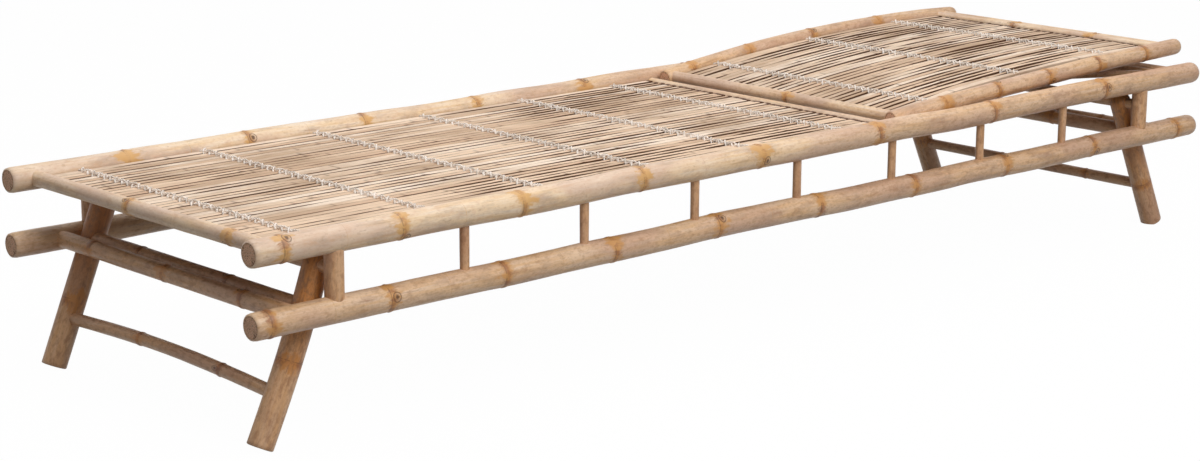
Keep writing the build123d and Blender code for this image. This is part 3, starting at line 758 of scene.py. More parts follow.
    # A sawn end is worn round over its last few millimetres, and a round top, which has a lead, isn't sawn
    wear = add_node(tree, "ShaderNodeMath", {0: given["Radius"], 1: 0.2}, operation="MULTIPLY")
    wear = add_node(tree, "ShaderNodeMath", {0: wear, 1: 3 * MM}, operation="MINIMUM")
    from_start = add_node(
        tree, "ShaderNodeMath", {0: given["Lead"], 1: 10.0, 2: spline.outputs["Length"]},
        operation="MULTIPLY_ADD",
    )
    from_end = add_node(
        tree, "ShaderNodeMath", {0: spline_length, 1: spline.outputs["Length"]}, operation="SUBTRACT"
    )
    from_cut = add_node(tree, "ShaderNodeMath", {0: from_start, 1: from_end}, operation="MINIMUM")
    worn = add_node(
        tree, "ShaderNodeMapRange", {"Value": from_cut, "From Max": wear, "To Min": 1.0, "To Max": 0.0}
    )
    worn = add_node(tree, "ShaderNodeMath", {0: worn, 1: 2.0}, operation="POWER")
    worn = add_node(tree, "ShaderNodeMath", {0: 1.0, 1: worn}, operation="SUBTRACT")
    worn = add_node(tree, "ShaderNodeMath", {0: worn}, operation="SQRT")
    worn = add_node(tree, "ShaderNodeMath", {0: 1.0, 1: worn}, operation="SUBTRACT")
    worn = add_node(tree, "ShaderNodeMath", {0: worn, 1: wear}, operation="MULTIPLY")
    thick = add_node(tree, "ShaderNodeMath", {0: thick, 1: worn}, operation="SUBTRACT")
    # A round top narrows as a ball does
    below = add_node(
        tree, "ShaderNodeMath", {0: given["Lead"], 1: spline.outputs["Length"]}, operation="SUBTRACT"
    )
    below = add_node(tree, "ShaderNodeMath", {0: below, 1: 0.0}, operation="MAXIMUM")
    below = add_node(tree, "ShaderNodeMath", {0: below, 1: 2.0}, operation="POWER")
    whole = add_node(tree, "ShaderNodeMath", {0: given["Lead"], 1: 2.0}, operation="POWER")
    ball = add_node(tree, "ShaderNodeMath", {0: whole, 1: below}, operation="SUBTRACT")
    ball = add_node(tree, "ShaderNodeMath", {0: ball, 1: (0.4 * MM) ** 2}, operation="MAXIMUM")
    ball = add_node(tree, "ShaderNodeMath", {0: ball}, operation="SQRT")
    open_top = add_node(tree, "ShaderNodeMath", {0: square, 1: ball}, operation="ADD")
    thick = add_node(tree, "ShaderNodeMath", {0: thick, 1: open_top}, operation="MINIMUM")

    # The axis strays in bends about 380 mm long, more up and down than aside, and not at all at the ends
    bends = add_node(
        tree, "ShaderNodeTexNoise", {"W": travel, "Scale": 2.6, "Detail": 1.0}, noise_dimensions="1D"
    )
    stray = add_node(
        tree, "ShaderNodeVectorMath", {0: bends.outputs["Color"], 1: (0.5, 0.5, 0.5)}, operation="SUBTRACT"
    )
    angle = add_node(tree, "ShaderNodeMath", {0: spline.outputs["Factor"], 1: math.pi}, operation="MULTIPLY")
    belly = add_node(tree, "ShaderNodeMath", {0: angle}, operation="SINE")
    sway = add_node(tree, "ShaderNodeMath", {0: belly, 1: given["Wander"]}, operation="MULTIPLY")
    stray = add_node(tree, "ShaderNodeVectorMath", {0: stray, 1: (1.0, 1.0, 4.0)}, operation="MULTIPLY")
    stray = add_node(tree, "ShaderNodeVectorMath", {0: stray, "Scale": sway}, operation="SCALE")
    bowed = add_node(tree, "ShaderNodeVectorMath", {0: given["Bow"], "Scale": belly}, operation="SCALE")
    stray = add_node(tree, "ShaderNodeVectorMath", {0: stray, 1: bowed}, operation="ADD")
    axis = add_node(tree, "GeometryNodeSetPosition", {"Geometry": axis, "Offset": stray})

    rim = add_node(tree, "GeometryNodeCurvePrimitiveCircle", {"Resolution": 28, "Radius": 1.0})
    rim = add_node(
        tree, "GeometryNodeStoreNamedAttribute", {"Geometry": rim, "Name": "disc", "Value": here},
        data_type="FLOAT_VECTOR", domain="POINT",
    )
    skin = add_node(
        tree, "GeometryNodeCurveToMesh",
        {"Curve": axis, "Profile Curve": rim, "Scale": thick, "Fill Caps": True},
    )
    # Lengthwise grain: across the culm from the rim, and along it from its start
    disc = add_node(tree, "GeometryNodeInputNamedAttribute", {"Name": "disc"}, data_type="FLOAT_VECTOR")
    along = add_node(tree, "GeometryNodeInputNamedAttribute", {"Name": "along"}, data_type="FLOAT")
    across = add_node(tree, "ShaderNodeVectorMath", {0: disc, "Scale": given["Radius"]}, operation="SCALE")
    shifted = add_node(tree, "ShaderNodeMath", {0: along, 1: given["Seed"]}, operation="ADD")
    lengthwise = add_node(tree, "ShaderNodeCombineXYZ", {"Z": shifted})
    grain = add_node(tree, "ShaderNodeVectorMath", {0: across, 1: lengthwise}, operation="ADD")
    # The tone of the start gives way to that of the far end round the middle
    length = add_node(tree, "ShaderNodeVectorMath", {0: span}, operation="LENGTH").outputs["Value"]
    share_along = add_node(tree, "ShaderNodeMath", {0: along, 1: length}, operation="DIVIDE")
    tone = add_node(
        tree, "ShaderNodeMapRange",
        {
            "Value": share_along, "From Min": 0.3, "From Max": 0.75, "To Min": given["Tone"],
            "To Max": given["Far tone"],
        },
        interpolation_type="SMOOTHSTEP",
    )
    # The branch knots turn by about 110 degrees from node to node
    node_number = add_node(
        tree, "GeometryNodeInputNamedAttribute", {"Name": "node_number"}, data_type="FLOAT"
    )
    bud_angle = add_node(
        tree, "ShaderNodeMath", {0: node_number, 1: 1.9, 2: given["Seed"]}, operation="MULTIPLY_ADD"
    )
    bud_x = add_node(tree, "ShaderNodeMath", {0: bud_angle}, operation="COSINE")
    bud_y = add_node(tree, "ShaderNodeMath", {0: bud_angle}, operation="SINE")
    bud = add_node(tree, "ShaderNodeCombineXYZ", {"X": bud_x, "Y": bud_y})
    knot = add_node(tree, "ShaderNodeVectorMath", {0: disc, 1: bud}, operation="DOT_PRODUCT")
    for name, value, data_type in (
        ("grain", grain, "FLOAT_VECTOR"), ("tone", tone, "FLOAT"), ("knot", knot.outputs["Value"], "FLOAT"),
    ):
        skin = add_node(
            tree, "GeometryNodeStoreNamedAttribute", {"Geometry": skin, "Name": name, "Value": value},
            data_type=data_type, domain="POINT",
        )
    # Faces that look along the culm are its sawn ends
    facing = add_node(tree, "GeometryNodeInputNormal")
    along_way = add_node(tree, "ShaderNodeVectorMath", {0: facing, 1: way}, operation="DOT_PRODUCT")
    size = add_node(tree, "ShaderNodeMath", {0: along_way.outputs["Value"]}, operation="ABSOLUTE")
    is_end = add_node(tree, "ShaderNodeMath", {0: size, 1: 0.97}, operation="GREATER_THAN")
    is_side = add_node(tree, "ShaderNodeMath", {0: 1.0, 1: is_end}, operation="SUBTRACT")
    skin = add_node(tree, "GeometryNodeSetShadeSmooth", {"Geometry": skin, "Shade Smooth": is_side})
    skin = add_node(tree, "GeometryNodeRealizeInstances", {"Geometry": skin})
    skin = add_node(tree, "GeometryNodeSetMaterial", {"Geometry": skin, "Material": given["Skin"]})
    skin = add_node(
        tree, "GeometryNodeSetMaterial",
        {"Geometry": skin, "Selection": is_end, "Material": given["Sawn end"]},
    )
    add_node(tree, "NodeGroupOutput", {"Geometry": skin})
    return tree


def slat_tree():
    """Split slats side by side along X: each with its own width, edges that stray and a few nodes."""
    tree, given = new_tree("Split slats", {
        "Count": "Int", "Pitch": "Float", "Width": "Float", "Thickness": "Float", "Length": "Float",
        "Unevenness": "Float", "Opening": "Float", "Tight": "Float", "Seed": "Int", "Material": "Material",
    })
    here = add_node(tree, "GeometryNodeInputPosition")
    far = add_node(tree, "ShaderNodeCombineXYZ", {"X": given["Length"]})
    line = add_node(tree, "GeometryNodeCurvePrimitiveLine", {"End": far})
    line = add_node(tree, "GeometryNodeResampleCurve", {"Curve": line, "Length": 9 * MM}, mode="LENGTH")
    spline = add_node(tree, "GeometryNodeSplineParameter")
    line = add_node(
        tree, "GeometryNodeStoreNamedAttribute",
        {"Geometry": line, "Name": "along", "Value": spline.outputs["Length"]},
        data_type="FLOAT", domain="POINT",
    )
    section = add_node(
        tree, "GeometryNodeCurvePrimitiveQuadrilateral",
        {"Width": given["Width"], "Height": given["Thickness"]},
    )
    # The edges are rounded by 1.2 mm on top and 0.4 mm below
    corner = add_node(tree, "ShaderNodeSeparateXYZ", {0: here})
    is_top = add_node(tree, "ShaderNodeMath", {0: corner.outputs["Y"], 1: 0.0}, operation="GREATER_THAN")
    rounding = add_node(
        tree, "ShaderNodeMath", {0: is_top, 1: 0.8 * MM, 2: 0.4 * MM}, operation="MULTIPLY_ADD"
    )
    section = add_node(
        tree, "GeometryNodeFilletCurve", {"Curve": section, "Count": 3, "Radius": rounding}, mode="POLY"
    )
    section = add_node(
        tree, "GeometryNodeStoreNamedAttribute", {"Geometry": section, "Name": "rim", "Value": here},
        data_type="FLOAT_VECTOR", domain="POINT",
    )
    slat = add_node(
        tree, "GeometryNodeCurveToMesh", {"Curve": line, "Profile Curve": section, "Fill Caps": True}
    )

    number = add_node(tree, "GeometryNodeInputIndex")
    last = add_node(tree, "ShaderNodeMath", {0: given["Count"], 1: 1.0}, operation="SUBTRACT")
    middle = add_node(tree, "ShaderNodeMath", {0: last, 1: -0.5, 2: number}, operation="MULTIPLY_ADD")
    across = add_node(tree, "ShaderNodeMath", {0: middle, 1: given["Pitch"]}, operation="MULTIPLY")
    place = add_node(tree, "ShaderNodeCombineXYZ", {"Y": across})
    places = add_node(tree, "GeometryNodePoints", {"Count": given["Count"], "Position": place})
    slats = add_node(tree, "GeometryNodeInstanceOnPoints", {"Points": places, "Instance": slat})
    chance = add_node(tree, "FunctionNodeRandomValue", {"Seed": given["Seed"]}, data_type="FLOAT")
    for name, value, data_type in (("slat", chance.outputs[1], "FLOAT"), ("centre", here, "FLOAT_VECTOR")):
        slats = add_node(
            tree, "GeometryNodeStoreNamedAttribute", {"Geometry": slats, "Name": name, "Value": value},
            data_type=data_type, domain="INSTANCE",
        )
    slats = add_node(tree, "GeometryNodeRealizeInstances", {"Geometry": slats})

    rim = add_node(tree, "GeometryNodeInputNamedAttribute", {"Name": "rim"}, data_type="FLOAT_VECTOR")
    rim = add_node(tree, "ShaderNodeSeparateXYZ", {0: rim})
    along = add_node(tree, "GeometryNodeInputNamedAttribute", {"Name": "along"}, data_type="FLOAT")
    own = add_node(tree, "GeometryNodeInputNamedAttribute", {"Name": "slat"}, data_type="FLOAT")
    centre = add_node(tree, "GeometryNodeInputNamedAttribute", {"Name": "centre"}, data_type="FLOAT_VECTOR")
    centre = add_node(tree, "ShaderNodeSeparateXYZ", {0: centre})
    # Each slat strays in its own waves, about 140 mm long
    own_place = add_node(tree, "ShaderNodeMath", {0: own, 1: 37.0, 2: along}, operation="MULTIPLY_ADD")
    waves = add_node(
        tree, "ShaderNodeTexNoise", {"W": own_place, "Scale": 7.0, "Detail": 2.0}, noise_dimensions="1D"
    )
    stray = add_node(
        tree, "ShaderNodeVectorMath", {0: waves.outputs["Color"], 1: (0.5, 0.5, 0.5)}, operation="SUBTRACT"
    )
    stray = add_node(
        tree, "ShaderNodeVectorMath", {0: stray, "Scale": given["Unevenness"]}, operation="SCALE"
    )
    stray = add_node(tree, "ShaderNodeSeparateXYZ", {0: stray})
    # The two edges at a gap draw in together over stretches of about 300 mm, so that gaps open and close
    side = add_node(tree, "ShaderNodeMath", {0: rim.outputs["X"]}, operation="SIGN")
    half_pitch = add_node(tree, "ShaderNodeMath", {0: given["Pitch"], 1: 0.5}, operation="MULTIPLY")
    gap_y = add_node(
        tree, "ShaderNodeMath", {0: side, 1: half_pitch, 2: centre.outputs["Y"]}, operation="MULTIPLY_ADD"
    )
    gap_place = add_node(tree, "ShaderNodeMath", {0: gap_y, 1: 300.0, 2: along}, operation="MULTIPLY_ADD")
    draws = add_node(
        tree, "ShaderNodeTexNoise", {"W": gap_place, "Scale": 3.4, "Detail": 3.0}, noise_dimensions="1D"
    )
    drawn = add_node(
        tree, "ShaderNodeMapRange",
        {"Value": draws, "From Min": 0.36, "From Max": 0.62, "To Max": given["Opening"]},
        interpolation_type="SMOOTHSTEP",
    )
    # The mat is looser in patches about 300 mm across
    spread = add_node(
        tree, "ShaderNodeCombineXYZ", {"X": along, "Y": centre.outputs["Y"], "Z": given["Seed"]}
    )
    loose = add_node(tree, "ShaderNodeTexNoise", {"Vector": spread, "Scale": 3.2, "Detail": 1.0})
    loose = add_node(
        tree, "ShaderNodeMapRange", {"Value": loose, "From Min": 0.34, "From Max": 0.52, "To Min": 0.3}
    )
    drawn = add_node(tree, "ShaderNodeMath", {0: drawn, 1: loose}, operation="MULTIPLY")
    # The mat is tighter towards its first bar
    held = add_node(
        tree, "ShaderNodeMapRange",
        {"Value": along, "From Max": 400 * MM, "To Min": given["Tight"], "To Max": 1.0},
    )
    drawn = add_node(tree, "ShaderNodeMath", {0: drawn, 1: held}, operation="MULTIPLY")
    # The outer edges of the mat stay straight
    reach = add_node(tree, "ShaderNodeMath", {0: given["Count"], 1: half_pitch}, operation="MULTIPLY")
    gap_reach = add_node(tree, "ShaderNodeMath", {0: gap_y}, operation="ABSOLUTE")
    is_outer = add_node(tree, "ShaderNodeMath", {0: gap_reach, 1: reach, 2: 1 * MM}, operation="COMPARE")
    is_inner = add_node(tree, "ShaderNodeMath", {0: 1.0, 1: is_outer}, operation="SUBTRACT")
    drawn = add_node(tree, "ShaderNodeMath", {0: drawn, 1: is_inner}, operation="MULTIPLY")
    # The split side is wider than the skin side, so that a gap is a groove with a narrow slit at its foot
    is_upper = add_node(tree, "ShaderNodeMath", {0: rim.outputs["Y"], 1: 0.0}, operation="GREATER_THAN")
    slant = add_node(tree, "ShaderNodeMath", {0: is_upper, 1: 0.7, 2: 0.3}, operation="MULTIPLY_ADD")
    drawn_here = add_node(tree, "ShaderNodeMath", {0: drawn, 1: slant}, operation="MULTIPLY")
    # The slats are a little wider than their solids, so that they about touch where no gap opens
    inner = add_node(tree, "ShaderNodeMath", {0: given["Width"], 1: 0.5}, operation="MULTIPLY")
    narrow = add_node(tree, "ShaderNodeMath", {0: drawn_here, 1: inner}, operation="DIVIDE")
    breadth = add_node(tree, "ShaderNodeMath", {0: 1.08, 1: narrow}, operation="SUBTRACT")
    y = add_node(tree, "ShaderNodeMath", {0: rim.outputs["X"], 1: breadth}, operation="MULTIPLY")
    y = add_node(tree, "ShaderNodeMath", {0: y, 1: centre.outputs["Y"]}, operation="ADD")
    y = add_node(tree, "ShaderNodeMath", {0: stray.outputs["X"], 1: y}, operation="ADD")
    # The crown falls away to the edges by 0.7 mm
    edge = add_node(tree, "ShaderNodeMath", {0: rim.outputs["X"], 1: given["Width"]}, operation="DIVIDE")
    edge = add_node(tree, "ShaderNodeMath", {0: edge}, operation="ABSOLUTE")
    edge = add_node(tree, "ShaderNodeMath", {0: edge, 1: 2.0}, operation="MULTIPLY")
    fall = add_node(tree, "ShaderNodeMath", {0: edge, 1: 2.0}, operation="POWER")
    fall = add_node(tree, "ShaderNodeMath", {0: fall, 1: is_upper}, operation="MULTIPLY")
    z = add_node(
        tree, "ShaderNodeMath", {0: fall, 1: -0.7 * MM, 2: rim.outputs["Y"]}, operation="MULTIPLY_ADD"
    )
    # Nodes come one internode apart, at another place in each slat
    internode = SLAT_INTERNODE * MM
    turn = add_node(tree, "ShaderNodeMath", {0: own, 1: 5.7}, operation="MULTIPLY")
    turn = add_node(tree, "ShaderNodeMath", {0: along, 1: 1 / internode, 2: turn}, operation="MULTIPLY_ADD")
    turn = add_node(tree, "ShaderNodeMath", {0: turn}, operation="FRACT")
    node_gap = add_node(tree, "ShaderNodeMath", {0: turn, 1: 0.5}, operation="SUBTRACT")
    node_gap = add_node(tree, "ShaderNodeMath", {0: node_gap, 1: internode}, operation="MULTIPLY")
    node_size = add_node(tree, "ShaderNodeMath", {0: node_gap}, operation="ABSOLUTE")
    bump = add_node(
        tree, "ShaderNodeMapRange",
        {"Value": node_size, "From Min": 10 * MM, "From Max": 0.0, "To Max": 0.4 * MM},
        interpolation_type="SMOOTHSTEP",
    )
    z = add_node(tree, "ShaderNodeMath", {0: z, 1: bump}, operation="ADD")
    # Each slat lies up to 0.6 mm lower, by a chance of its own
    scattered = add_node(tree, "ShaderNodeMath", {0: own, 1: 7.31}, operation="MULTIPLY")
    scattered = add_node(tree, "ShaderNodeMath", {0: scattered}, operation="FRACT")
    z = add_node(tree, "ShaderNodeMath", {0: scattered, 1: -0.6 * MM, 2: z}, operation="MULTIPLY_ADD")
    z = add_node(tree, "ShaderNodeMath", {0: stray.outputs["Y"], 1: 0.35, 2: z}, operation="MULTIPLY_ADD")
    # Each end is sawn up to 2 mm short
    short = add_node(tree, "ShaderNodeMath", {0: scattered, 1: 2 * MM}, operation="MULTIPLY")
    half_way = add_node(tree, "ShaderNodeMath", {0: along, 1: given["Length"]}, operation="DIVIDE")
    inward = add_node(tree, "ShaderNodeMapRange", {"Value": half_way, "To Min": 1.0, "To Max": -1.0})
    x = add_node(tree, "ShaderNodeMath", {0: short, 1: inward, 2: along}, operation="MULTIPLY_ADD")
    spot = add_node(tree, "ShaderNodeCombineXYZ", {"X": x, "Y": y, "Z": z})
    slats = add_node(tree, "GeometryNodeSetPosition", {"Geometry": slats, "Position": spot})

    grain_x = add_node(
        tree, "ShaderNodeMath", {0: own, 1: 3.0, 2: rim.outputs["X"]}, operation="MULTIPLY_ADD"
    )
    grain = add_node(tree, "ShaderNodeCombineXYZ", {"X": grain_x, "Y": rim.outputs["Y"], "Z": along})
    # How far the gap beside each edge opens, which sets how much painted shade the edge gets
    gap_share = add_node(tree, "ShaderNodeMath", {0: drawn, 1: given["Opening"]}, operation="DIVIDE")
    # Painted shade: the last few millimetres at the head end are darkened as far as a split edge, for the shadowed
    # gap at the bar there
    from_end = add_node(tree, "ShaderNodeMath", {0: given["Length"], 1: along}, operation="SUBTRACT")
    painted_end_shade = add_node(tree, "ShaderNodeMapRange", {"Value": from_end, "From Min": 9 * MM, "From Max": 0.0})
    painted_end_shade = add_node(tree, "ShaderNodeMath", {0: painted_end_shade, 1: 2.6}, operation="MULTIPLY")
    # The painted end shade darkens the edges and sets the gap shade to full there
    edge = add_node(tree, "ShaderNodeMath", {0: edge, 1: painted_end_shade}, operation="MAXIMUM")
    gap_share = add_node(tree, "ShaderNodeMath", {0: gap_share, 1: painted_end_shade}, operation="MAXIMUM")
    for name, value, data_type in (
        ("grain", grain, "FLOAT_VECTOR"), ("edge", edge, "FLOAT"), ("gap_share", gap_share, "FLOAT"),
        ("node_gap", node_gap, "FLOAT"),
    ):
        slats = add_node(
            tree, "GeometryNodeStoreNamedAttribute", {"Geometry": slats, "Name": name, "Value": value},
            data_type=data_type, domain="POINT",
        )
    slats = add_node(tree, "GeometryNodeRealizeInstances", {"Geometry": slats})
    slats = add_node(tree, "GeometryNodeSetMaterial", {"Geometry": slats, "Material": given["Material"]})
    add_node(tree, "NodeGroupOutput", {"Geometry": slats})
    return tree


def lashing_tree():
    """One row of lashing along Y: two cords of two strands that cross over each slat, dip between the slats
    and go round the bearer under every gap."""
    tree, given = new_tree("Lashing", {
        "Count": "Int", "Pitch": "Float", "Strand": "Float", "Sway": "Float", "Top": "Float",
        "Bearer level": "Float", "Bearer radius": "Float", "Seed": "Float", "Material": "Material",
    })
    reach = add_node(tree, "ShaderNodeMath", {0: given["Count"], 1: given["Pitch"]}, operation="MULTIPLY")
    reach = add_node(tree, "ShaderNodeMath", {0: reach, 1: 0.5}, operation="MULTIPLY")
    left = add_node(tree, "ShaderNodeMath", {0: reach, 1: -1.0}, operation="MULTIPLY")
    start = add_node(tree, "ShaderNodeCombineXYZ", {"Y": left})
    end = add_node(tree, "ShaderNodeCombineXYZ", {"Y": reach})
    line = add_node(tree, "GeometryNodeCurvePrimitiveLine", {"Start": start, "End": end})
    # Twelve steps a stitch
    steps = add_node(tree, "ShaderNodeMath", {0: given["Count"], 1: 12.0, 2: 1.0}, operation="MULTIPLY_ADD")
    line = add_node(tree, "GeometryNodeResampleCurve", {"Curve": line, "Count": steps})
    spline = add_node(tree, "GeometryNodeSplineParameter")
    # How far along its own stitch a point is, from one gap to the next
    stitch = add_node(
        tree, "ShaderNodeMath", {0: spline.outputs["Length"], 1: given["Pitch"]}, operation="DIVIDE"
    )
    angle = add_node(tree, "ShaderNodeMath", {0: stitch, 1: math.tau}, operation="MULTIPLY")
    half_angle = add_node(tree, "ShaderNodeMath", {0: stitch, 1: math.pi}, operation="MULTIPLY")
    zigzag = add_node(tree, "ShaderNodeMath", {0: half_angle}, operation="COSINE")
    x = add_node(tree, "ShaderNodeMath", {0: zigzag, 1: given["Sway"]}, operation="MULTIPLY")
    # No two stitches are as wide
    own_stitch = add_node(tree, "ShaderNodeMath", {0: stitch, 1: given["Seed"]}, operation="ADD")
    widths = add_node(tree, "ShaderNodeTexNoise", {"W": own_stitch, "Scale": 0.9}, noise_dimensions="1D")
    width = add_node(
        tree, "ShaderNodeMapRange",
        {"Value": widths, "From Min": 0.3, "From Max": 0.7, "To Min": 0.65, "To Max": 1.25},
    )
    x = add_node(tree, "ShaderNodeMath", {0: x, 1: width}, operation="MULTIPLY")
    crest = add_node(tree, "ShaderNodeMath", {0: angle}, operation="COSINE")
    # Full depth in the gaps and nothing over the slats
    dip = add_node(
        tree, "ShaderNodeMapRange",
        {"Value": crest, "From Min": 0.45, "From Max": 1.0, "To Max": -6 * MM},
        interpolation_type="SMOOTHSTEP",
    )
    z = add_node(tree, "ShaderNodeMath", {0: given["Top"], 1: dip}, operation="ADD")
    # Where the two cords cross over a slat, the second lies on the first
    over = add_node(
        tree, "ShaderNodeMapRange", {"Value": crest, "From Min": 0.2, "From Max": -0.8, "To Max": 2.6},
        interpolation_type="SMOOTHSTEP",
    )
    crossing = add_node(tree, "ShaderNodeMath", {0: over, 1: given["Strand"]}, operation="MULTIPLY")
    here = add_node(tree, "GeometryNodeInputPosition")
    flat = add_node(tree, "ShaderNodeSeparateXYZ", {0: here})
    # The strands of a cord wind round each other once in about 7 mm
    wind = add_node(tree, "ShaderNodeMath", {0: angle, 1: 2.0}, operation="MULTIPLY")
    rim = add_node(tree, "GeometryNodeCurvePrimitiveCircle", {"Resolution": 5, "Radius": 1.0})
    strands = []
    for mirror, lift in ((1.0, 0.0), (-1.0, 1.0)):
        aside = add_node(tree, "ShaderNodeMath", {0: x, 1: mirror}, operation="MULTIPLY")
        height = add_node(tree, "ShaderNodeMath", {0: crossing, 1: lift, 2: z}, operation="MULTIPLY_ADD")
        route = add_node(tree, "ShaderNodeCombineXYZ", {"X": aside, "Y": flat.outputs["Y"], "Z": height})
        cord = add_node(tree, "GeometryNodeSetPosition", {"Geometry": line, "Position": route})
        for phase in (0.0, math.pi):
            turn = add_node(tree, "ShaderNodeMath", {0: wind, 1: phase}, operation="ADD")
            beside = add_node(tree, "ShaderNodeMath", {0: turn}, operation="SINE")
            above = add_node(tree, "ShaderNodeMath", {0: turn}, operation="COSINE")
            offset = add_node(tree, "ShaderNodeCombineXYZ", {"X": beside, "Z": above})
            offset = add_node(
                tree, "ShaderNodeVectorMath", {0: offset, "Scale": given["Strand"]}, operation="SCALE"
            )
            strand = add_node(tree, "GeometryNodeSetPosition", {"Geometry": cord, "Offset": offset})
            strands.append(add_node(
                tree, "GeometryNodeCurveToMesh",
                {"Curve": strand, "Profile Curve": rim, "Scale": given["Strand"], "Fill Caps": True},
            ))

    # A turn round the bearer under every gap and beside the outer slats
    number = add_node(tree, "GeometryNodeInputIndex")
    half_count = add_node(tree, "ShaderNodeMath", {0: given["Count"], 1: -0.5}, operation="MULTIPLY")
    gap_number = add_node(tree, "ShaderNodeMath", {0: number, 1: half_count}, operation="ADD")
    gap_y = add_node(tree, "ShaderNodeMath", {0: gap_number, 1: given["Pitch"]}, operation="MULTIPLY")
    gap_place = add_node(tree, "ShaderNodeCombineXYZ", {"Y": gap_y, "Z": given["Bearer level"]})
    gap_count = add_node(tree, "ShaderNodeMath", {0: given["Count"], 1: 1.0}, operation="ADD")
    gaps = add_node(tree, "GeometryNodePoints", {"Count": gap_count, "Position": gap_place})
    round_bearer = add_node(
        tree, "ShaderNodeMath", {0: given["Strand"], 1: given["Bearer radius"]}, operation="ADD"
    )
    loop = add_node(tree, "GeometryNodeCurvePrimitiveCircle", {"Resolution": 12, "Radius": round_bearer})
    loop = add_node(
        tree, "GeometryNodeCurveToMesh", {"Curve": loop, "Profile Curve": rim, "Scale": given["Strand"]}
    )
    loops = add_node(
        tree, "GeometryNodeInstanceOnPoints",
        {"Points": gaps, "Instance": loop, "Rotation": (math.pi / 2, 0.0, 0.0)},
    )
    whole = add_node(tree, "GeometryNodeJoinGeometry")
    for part in (*strands, loops):
        tree.links.new(part.outputs[0], whole.inputs[0])
    whole = add_node(tree, "GeometryNodeSetShadeSmooth", {"Geometry": whole, "Shade Smooth": True})
    whole = add_node(tree, "GeometryNodeRealizeInstances", {"Geometry": whole})
    whole = add_node(tree, "GeometryNodeSetMaterial", {"Geometry": whole, "Material": given["Material"]})
    add_node(tree, "NodeGroupOutput", {"Geometry": whole})
    return tree


# What the operators share: the trees and materials, made once
made = {}


def stock():
    """Makes the trees and materials before the first piece."""
    if not made:
        made.update(
            culm=culm_tree(), slats=slat_tree(), lashing=lashing_tree(), skin=bamboo_skin(), end=bamboo_end(),
            split=split_bamboo(), cord=cotton_cord(), wood=sawn_wood(), steel=drawn_steel(),
        )
    return made


def grow_culm(
    name, start, end, radius, rings=None, tone=BAR_TONE, far_tone=None, lead=0.0, wander=0.0, taper=0.0,
    bow=STRAIGHT,
):
    """A culm from one point to another in metres, with its radius, lead, taper and bow in millimetres, its
    tone at the start and at the far end, and the share of the wander that it takes."""
    settings = bpy.context.scene.lounger_culms
    length = (end - start).length / MM
    first, internode, growth = rings or NO_RINGS
    count = 1
    while rings and first + count * internode + growth * count * (count - 1) / 2 < length - first / 2:
        count += 1
    shop = stock()
    return grow(shop["culm"], name, {
        "Start": start, "End": end, "Lead": lead * MM, "Radius": radius * MM, "First node": first * MM,
        "Internode": internode * MM, "Growth": growth * MM, "Node count": count,
        "Ring height": settings.ring_height / (1 - SWELL_BASE), "Wander": settings.wander * wander,
        "Taper": taper * MM, "Bow": Vector(bow) * MM, "Step": settings.sample,
        "Seed": sum(map(ord, name)) * SEED_STEP % SEED_SPAN, "Tone": tone,
        "Far tone": tone if far_tone is None else far_tone,
        "Skin": shop["skin"], "Sawn end": shop["end"],
    })


def culm_for(node, axis, radius, rings=None, tone=BAR_TONE, **more):
    """A culm in the place of a node that lies along one axis, with any more that grow_culm takes."""
    low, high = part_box(node)
    middle = (Vector(low) + Vector(high)) / 2
    start = middle.copy()
    end = middle.copy()
    start[axis] = low[axis]
    end[axis] = high[axis]
    return grow_culm(f"{node}_culm", start, end, radius, rings, tone, **more)


class LOUNGER_OT_rails(bpy.types.Operator):
    """Grow the upper and lower rails of both sides"""

    bl_idname = "lounger.rails"
    bl_label = "Side rails"

    def execute(self, context):
        for side in SIDES:
            for level, (tone, far_tone) in RAIL_TONES.items():
                node = f"{side}_{level}_rail"
                rail = culm_for(node, X, RAIL_RADIUS, RINGS[node], tone, far_tone=far_tone, wander=1.0)
                settle(rail, "frame", [node])
        return {"FINISHED"}


class LOUNGER_OT_uprights(bpy.types.Operator):
    """Grow the posts and spindles between the rails"""

    bl_idname = "lounger.uprights"
    bl_label = "Posts and spindles"

    def execute(self, context):
        for node in frame["record"]["behaviour"]["bodies"]["frame"]:
            if node.endswith("_post"):
                settle(culm_for(node, Z, POST_RADIUS), "frame", [node])
            elif "_spindle_" in node:
                settle(culm_for(node, Z, SPINDLE_RADIUS), "frame", [node])
        return {"FINISHED"}


class LOUNGER_OT_crossbars(bpy.types.Operator):
    """Grow the bars that cross the main frame"""

    bl_idname = "lounger.crossbars"
    bl_label = "Crossbars"

    def execute(self, context):
        bars = {
            "foot_crossbar": (END_BAR_RADIUS, RINGS["foot_crossbar"], FOOT_CROSSBAR_TONE),
            "head_crossbar": (END_BAR_RADIUS, RINGS["head_crossbar"], BAR_TONE),
            "seat_end_crossbar": (SEAT_END_BAR_RADIUS, None, SEAT_END_BAR_TONE),
            "front_stop_bar": (STOP_BAR_RADIUS, RINGS["stop_bar"], BAR_TONE),
            "rear_stop_bar": (STOP_BAR_RADIUS, RINGS["stop_bar"], BAR_TONE),
            "front_pivot_rod": (PIVOT_ROD_RADIUS, None, BAR_TONE),
            "rear_pivot_rod": (PIVOT_ROD_RADIUS, None, BAR_TONE),
        }
        for node, (radius, rings, tone) in bars.items():
            settle(culm_for(node, Y, radius, rings, tone), "frame", [node])
        first, pitch, count = SEAT_SLATS["rows"]
        low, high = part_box("seat_bearers")
        z = (low[2] + high[2]) / 2
        bearers = []
        for number in range(count):
            x = cad_box[0][0] + (first + number * pitch) * MM
            bearers.append(grow_culm(
                f"seat_bearer_{number + 1}", Vector((x, low[1], z)), Vector((x, high[1], z)),
                SEAT_BEARER_RADIUS,
            ))
        settle(join(bearers, "seat_bearers_culms"), "frame", ["seat_bearers"])
        return {"FINISHED"}


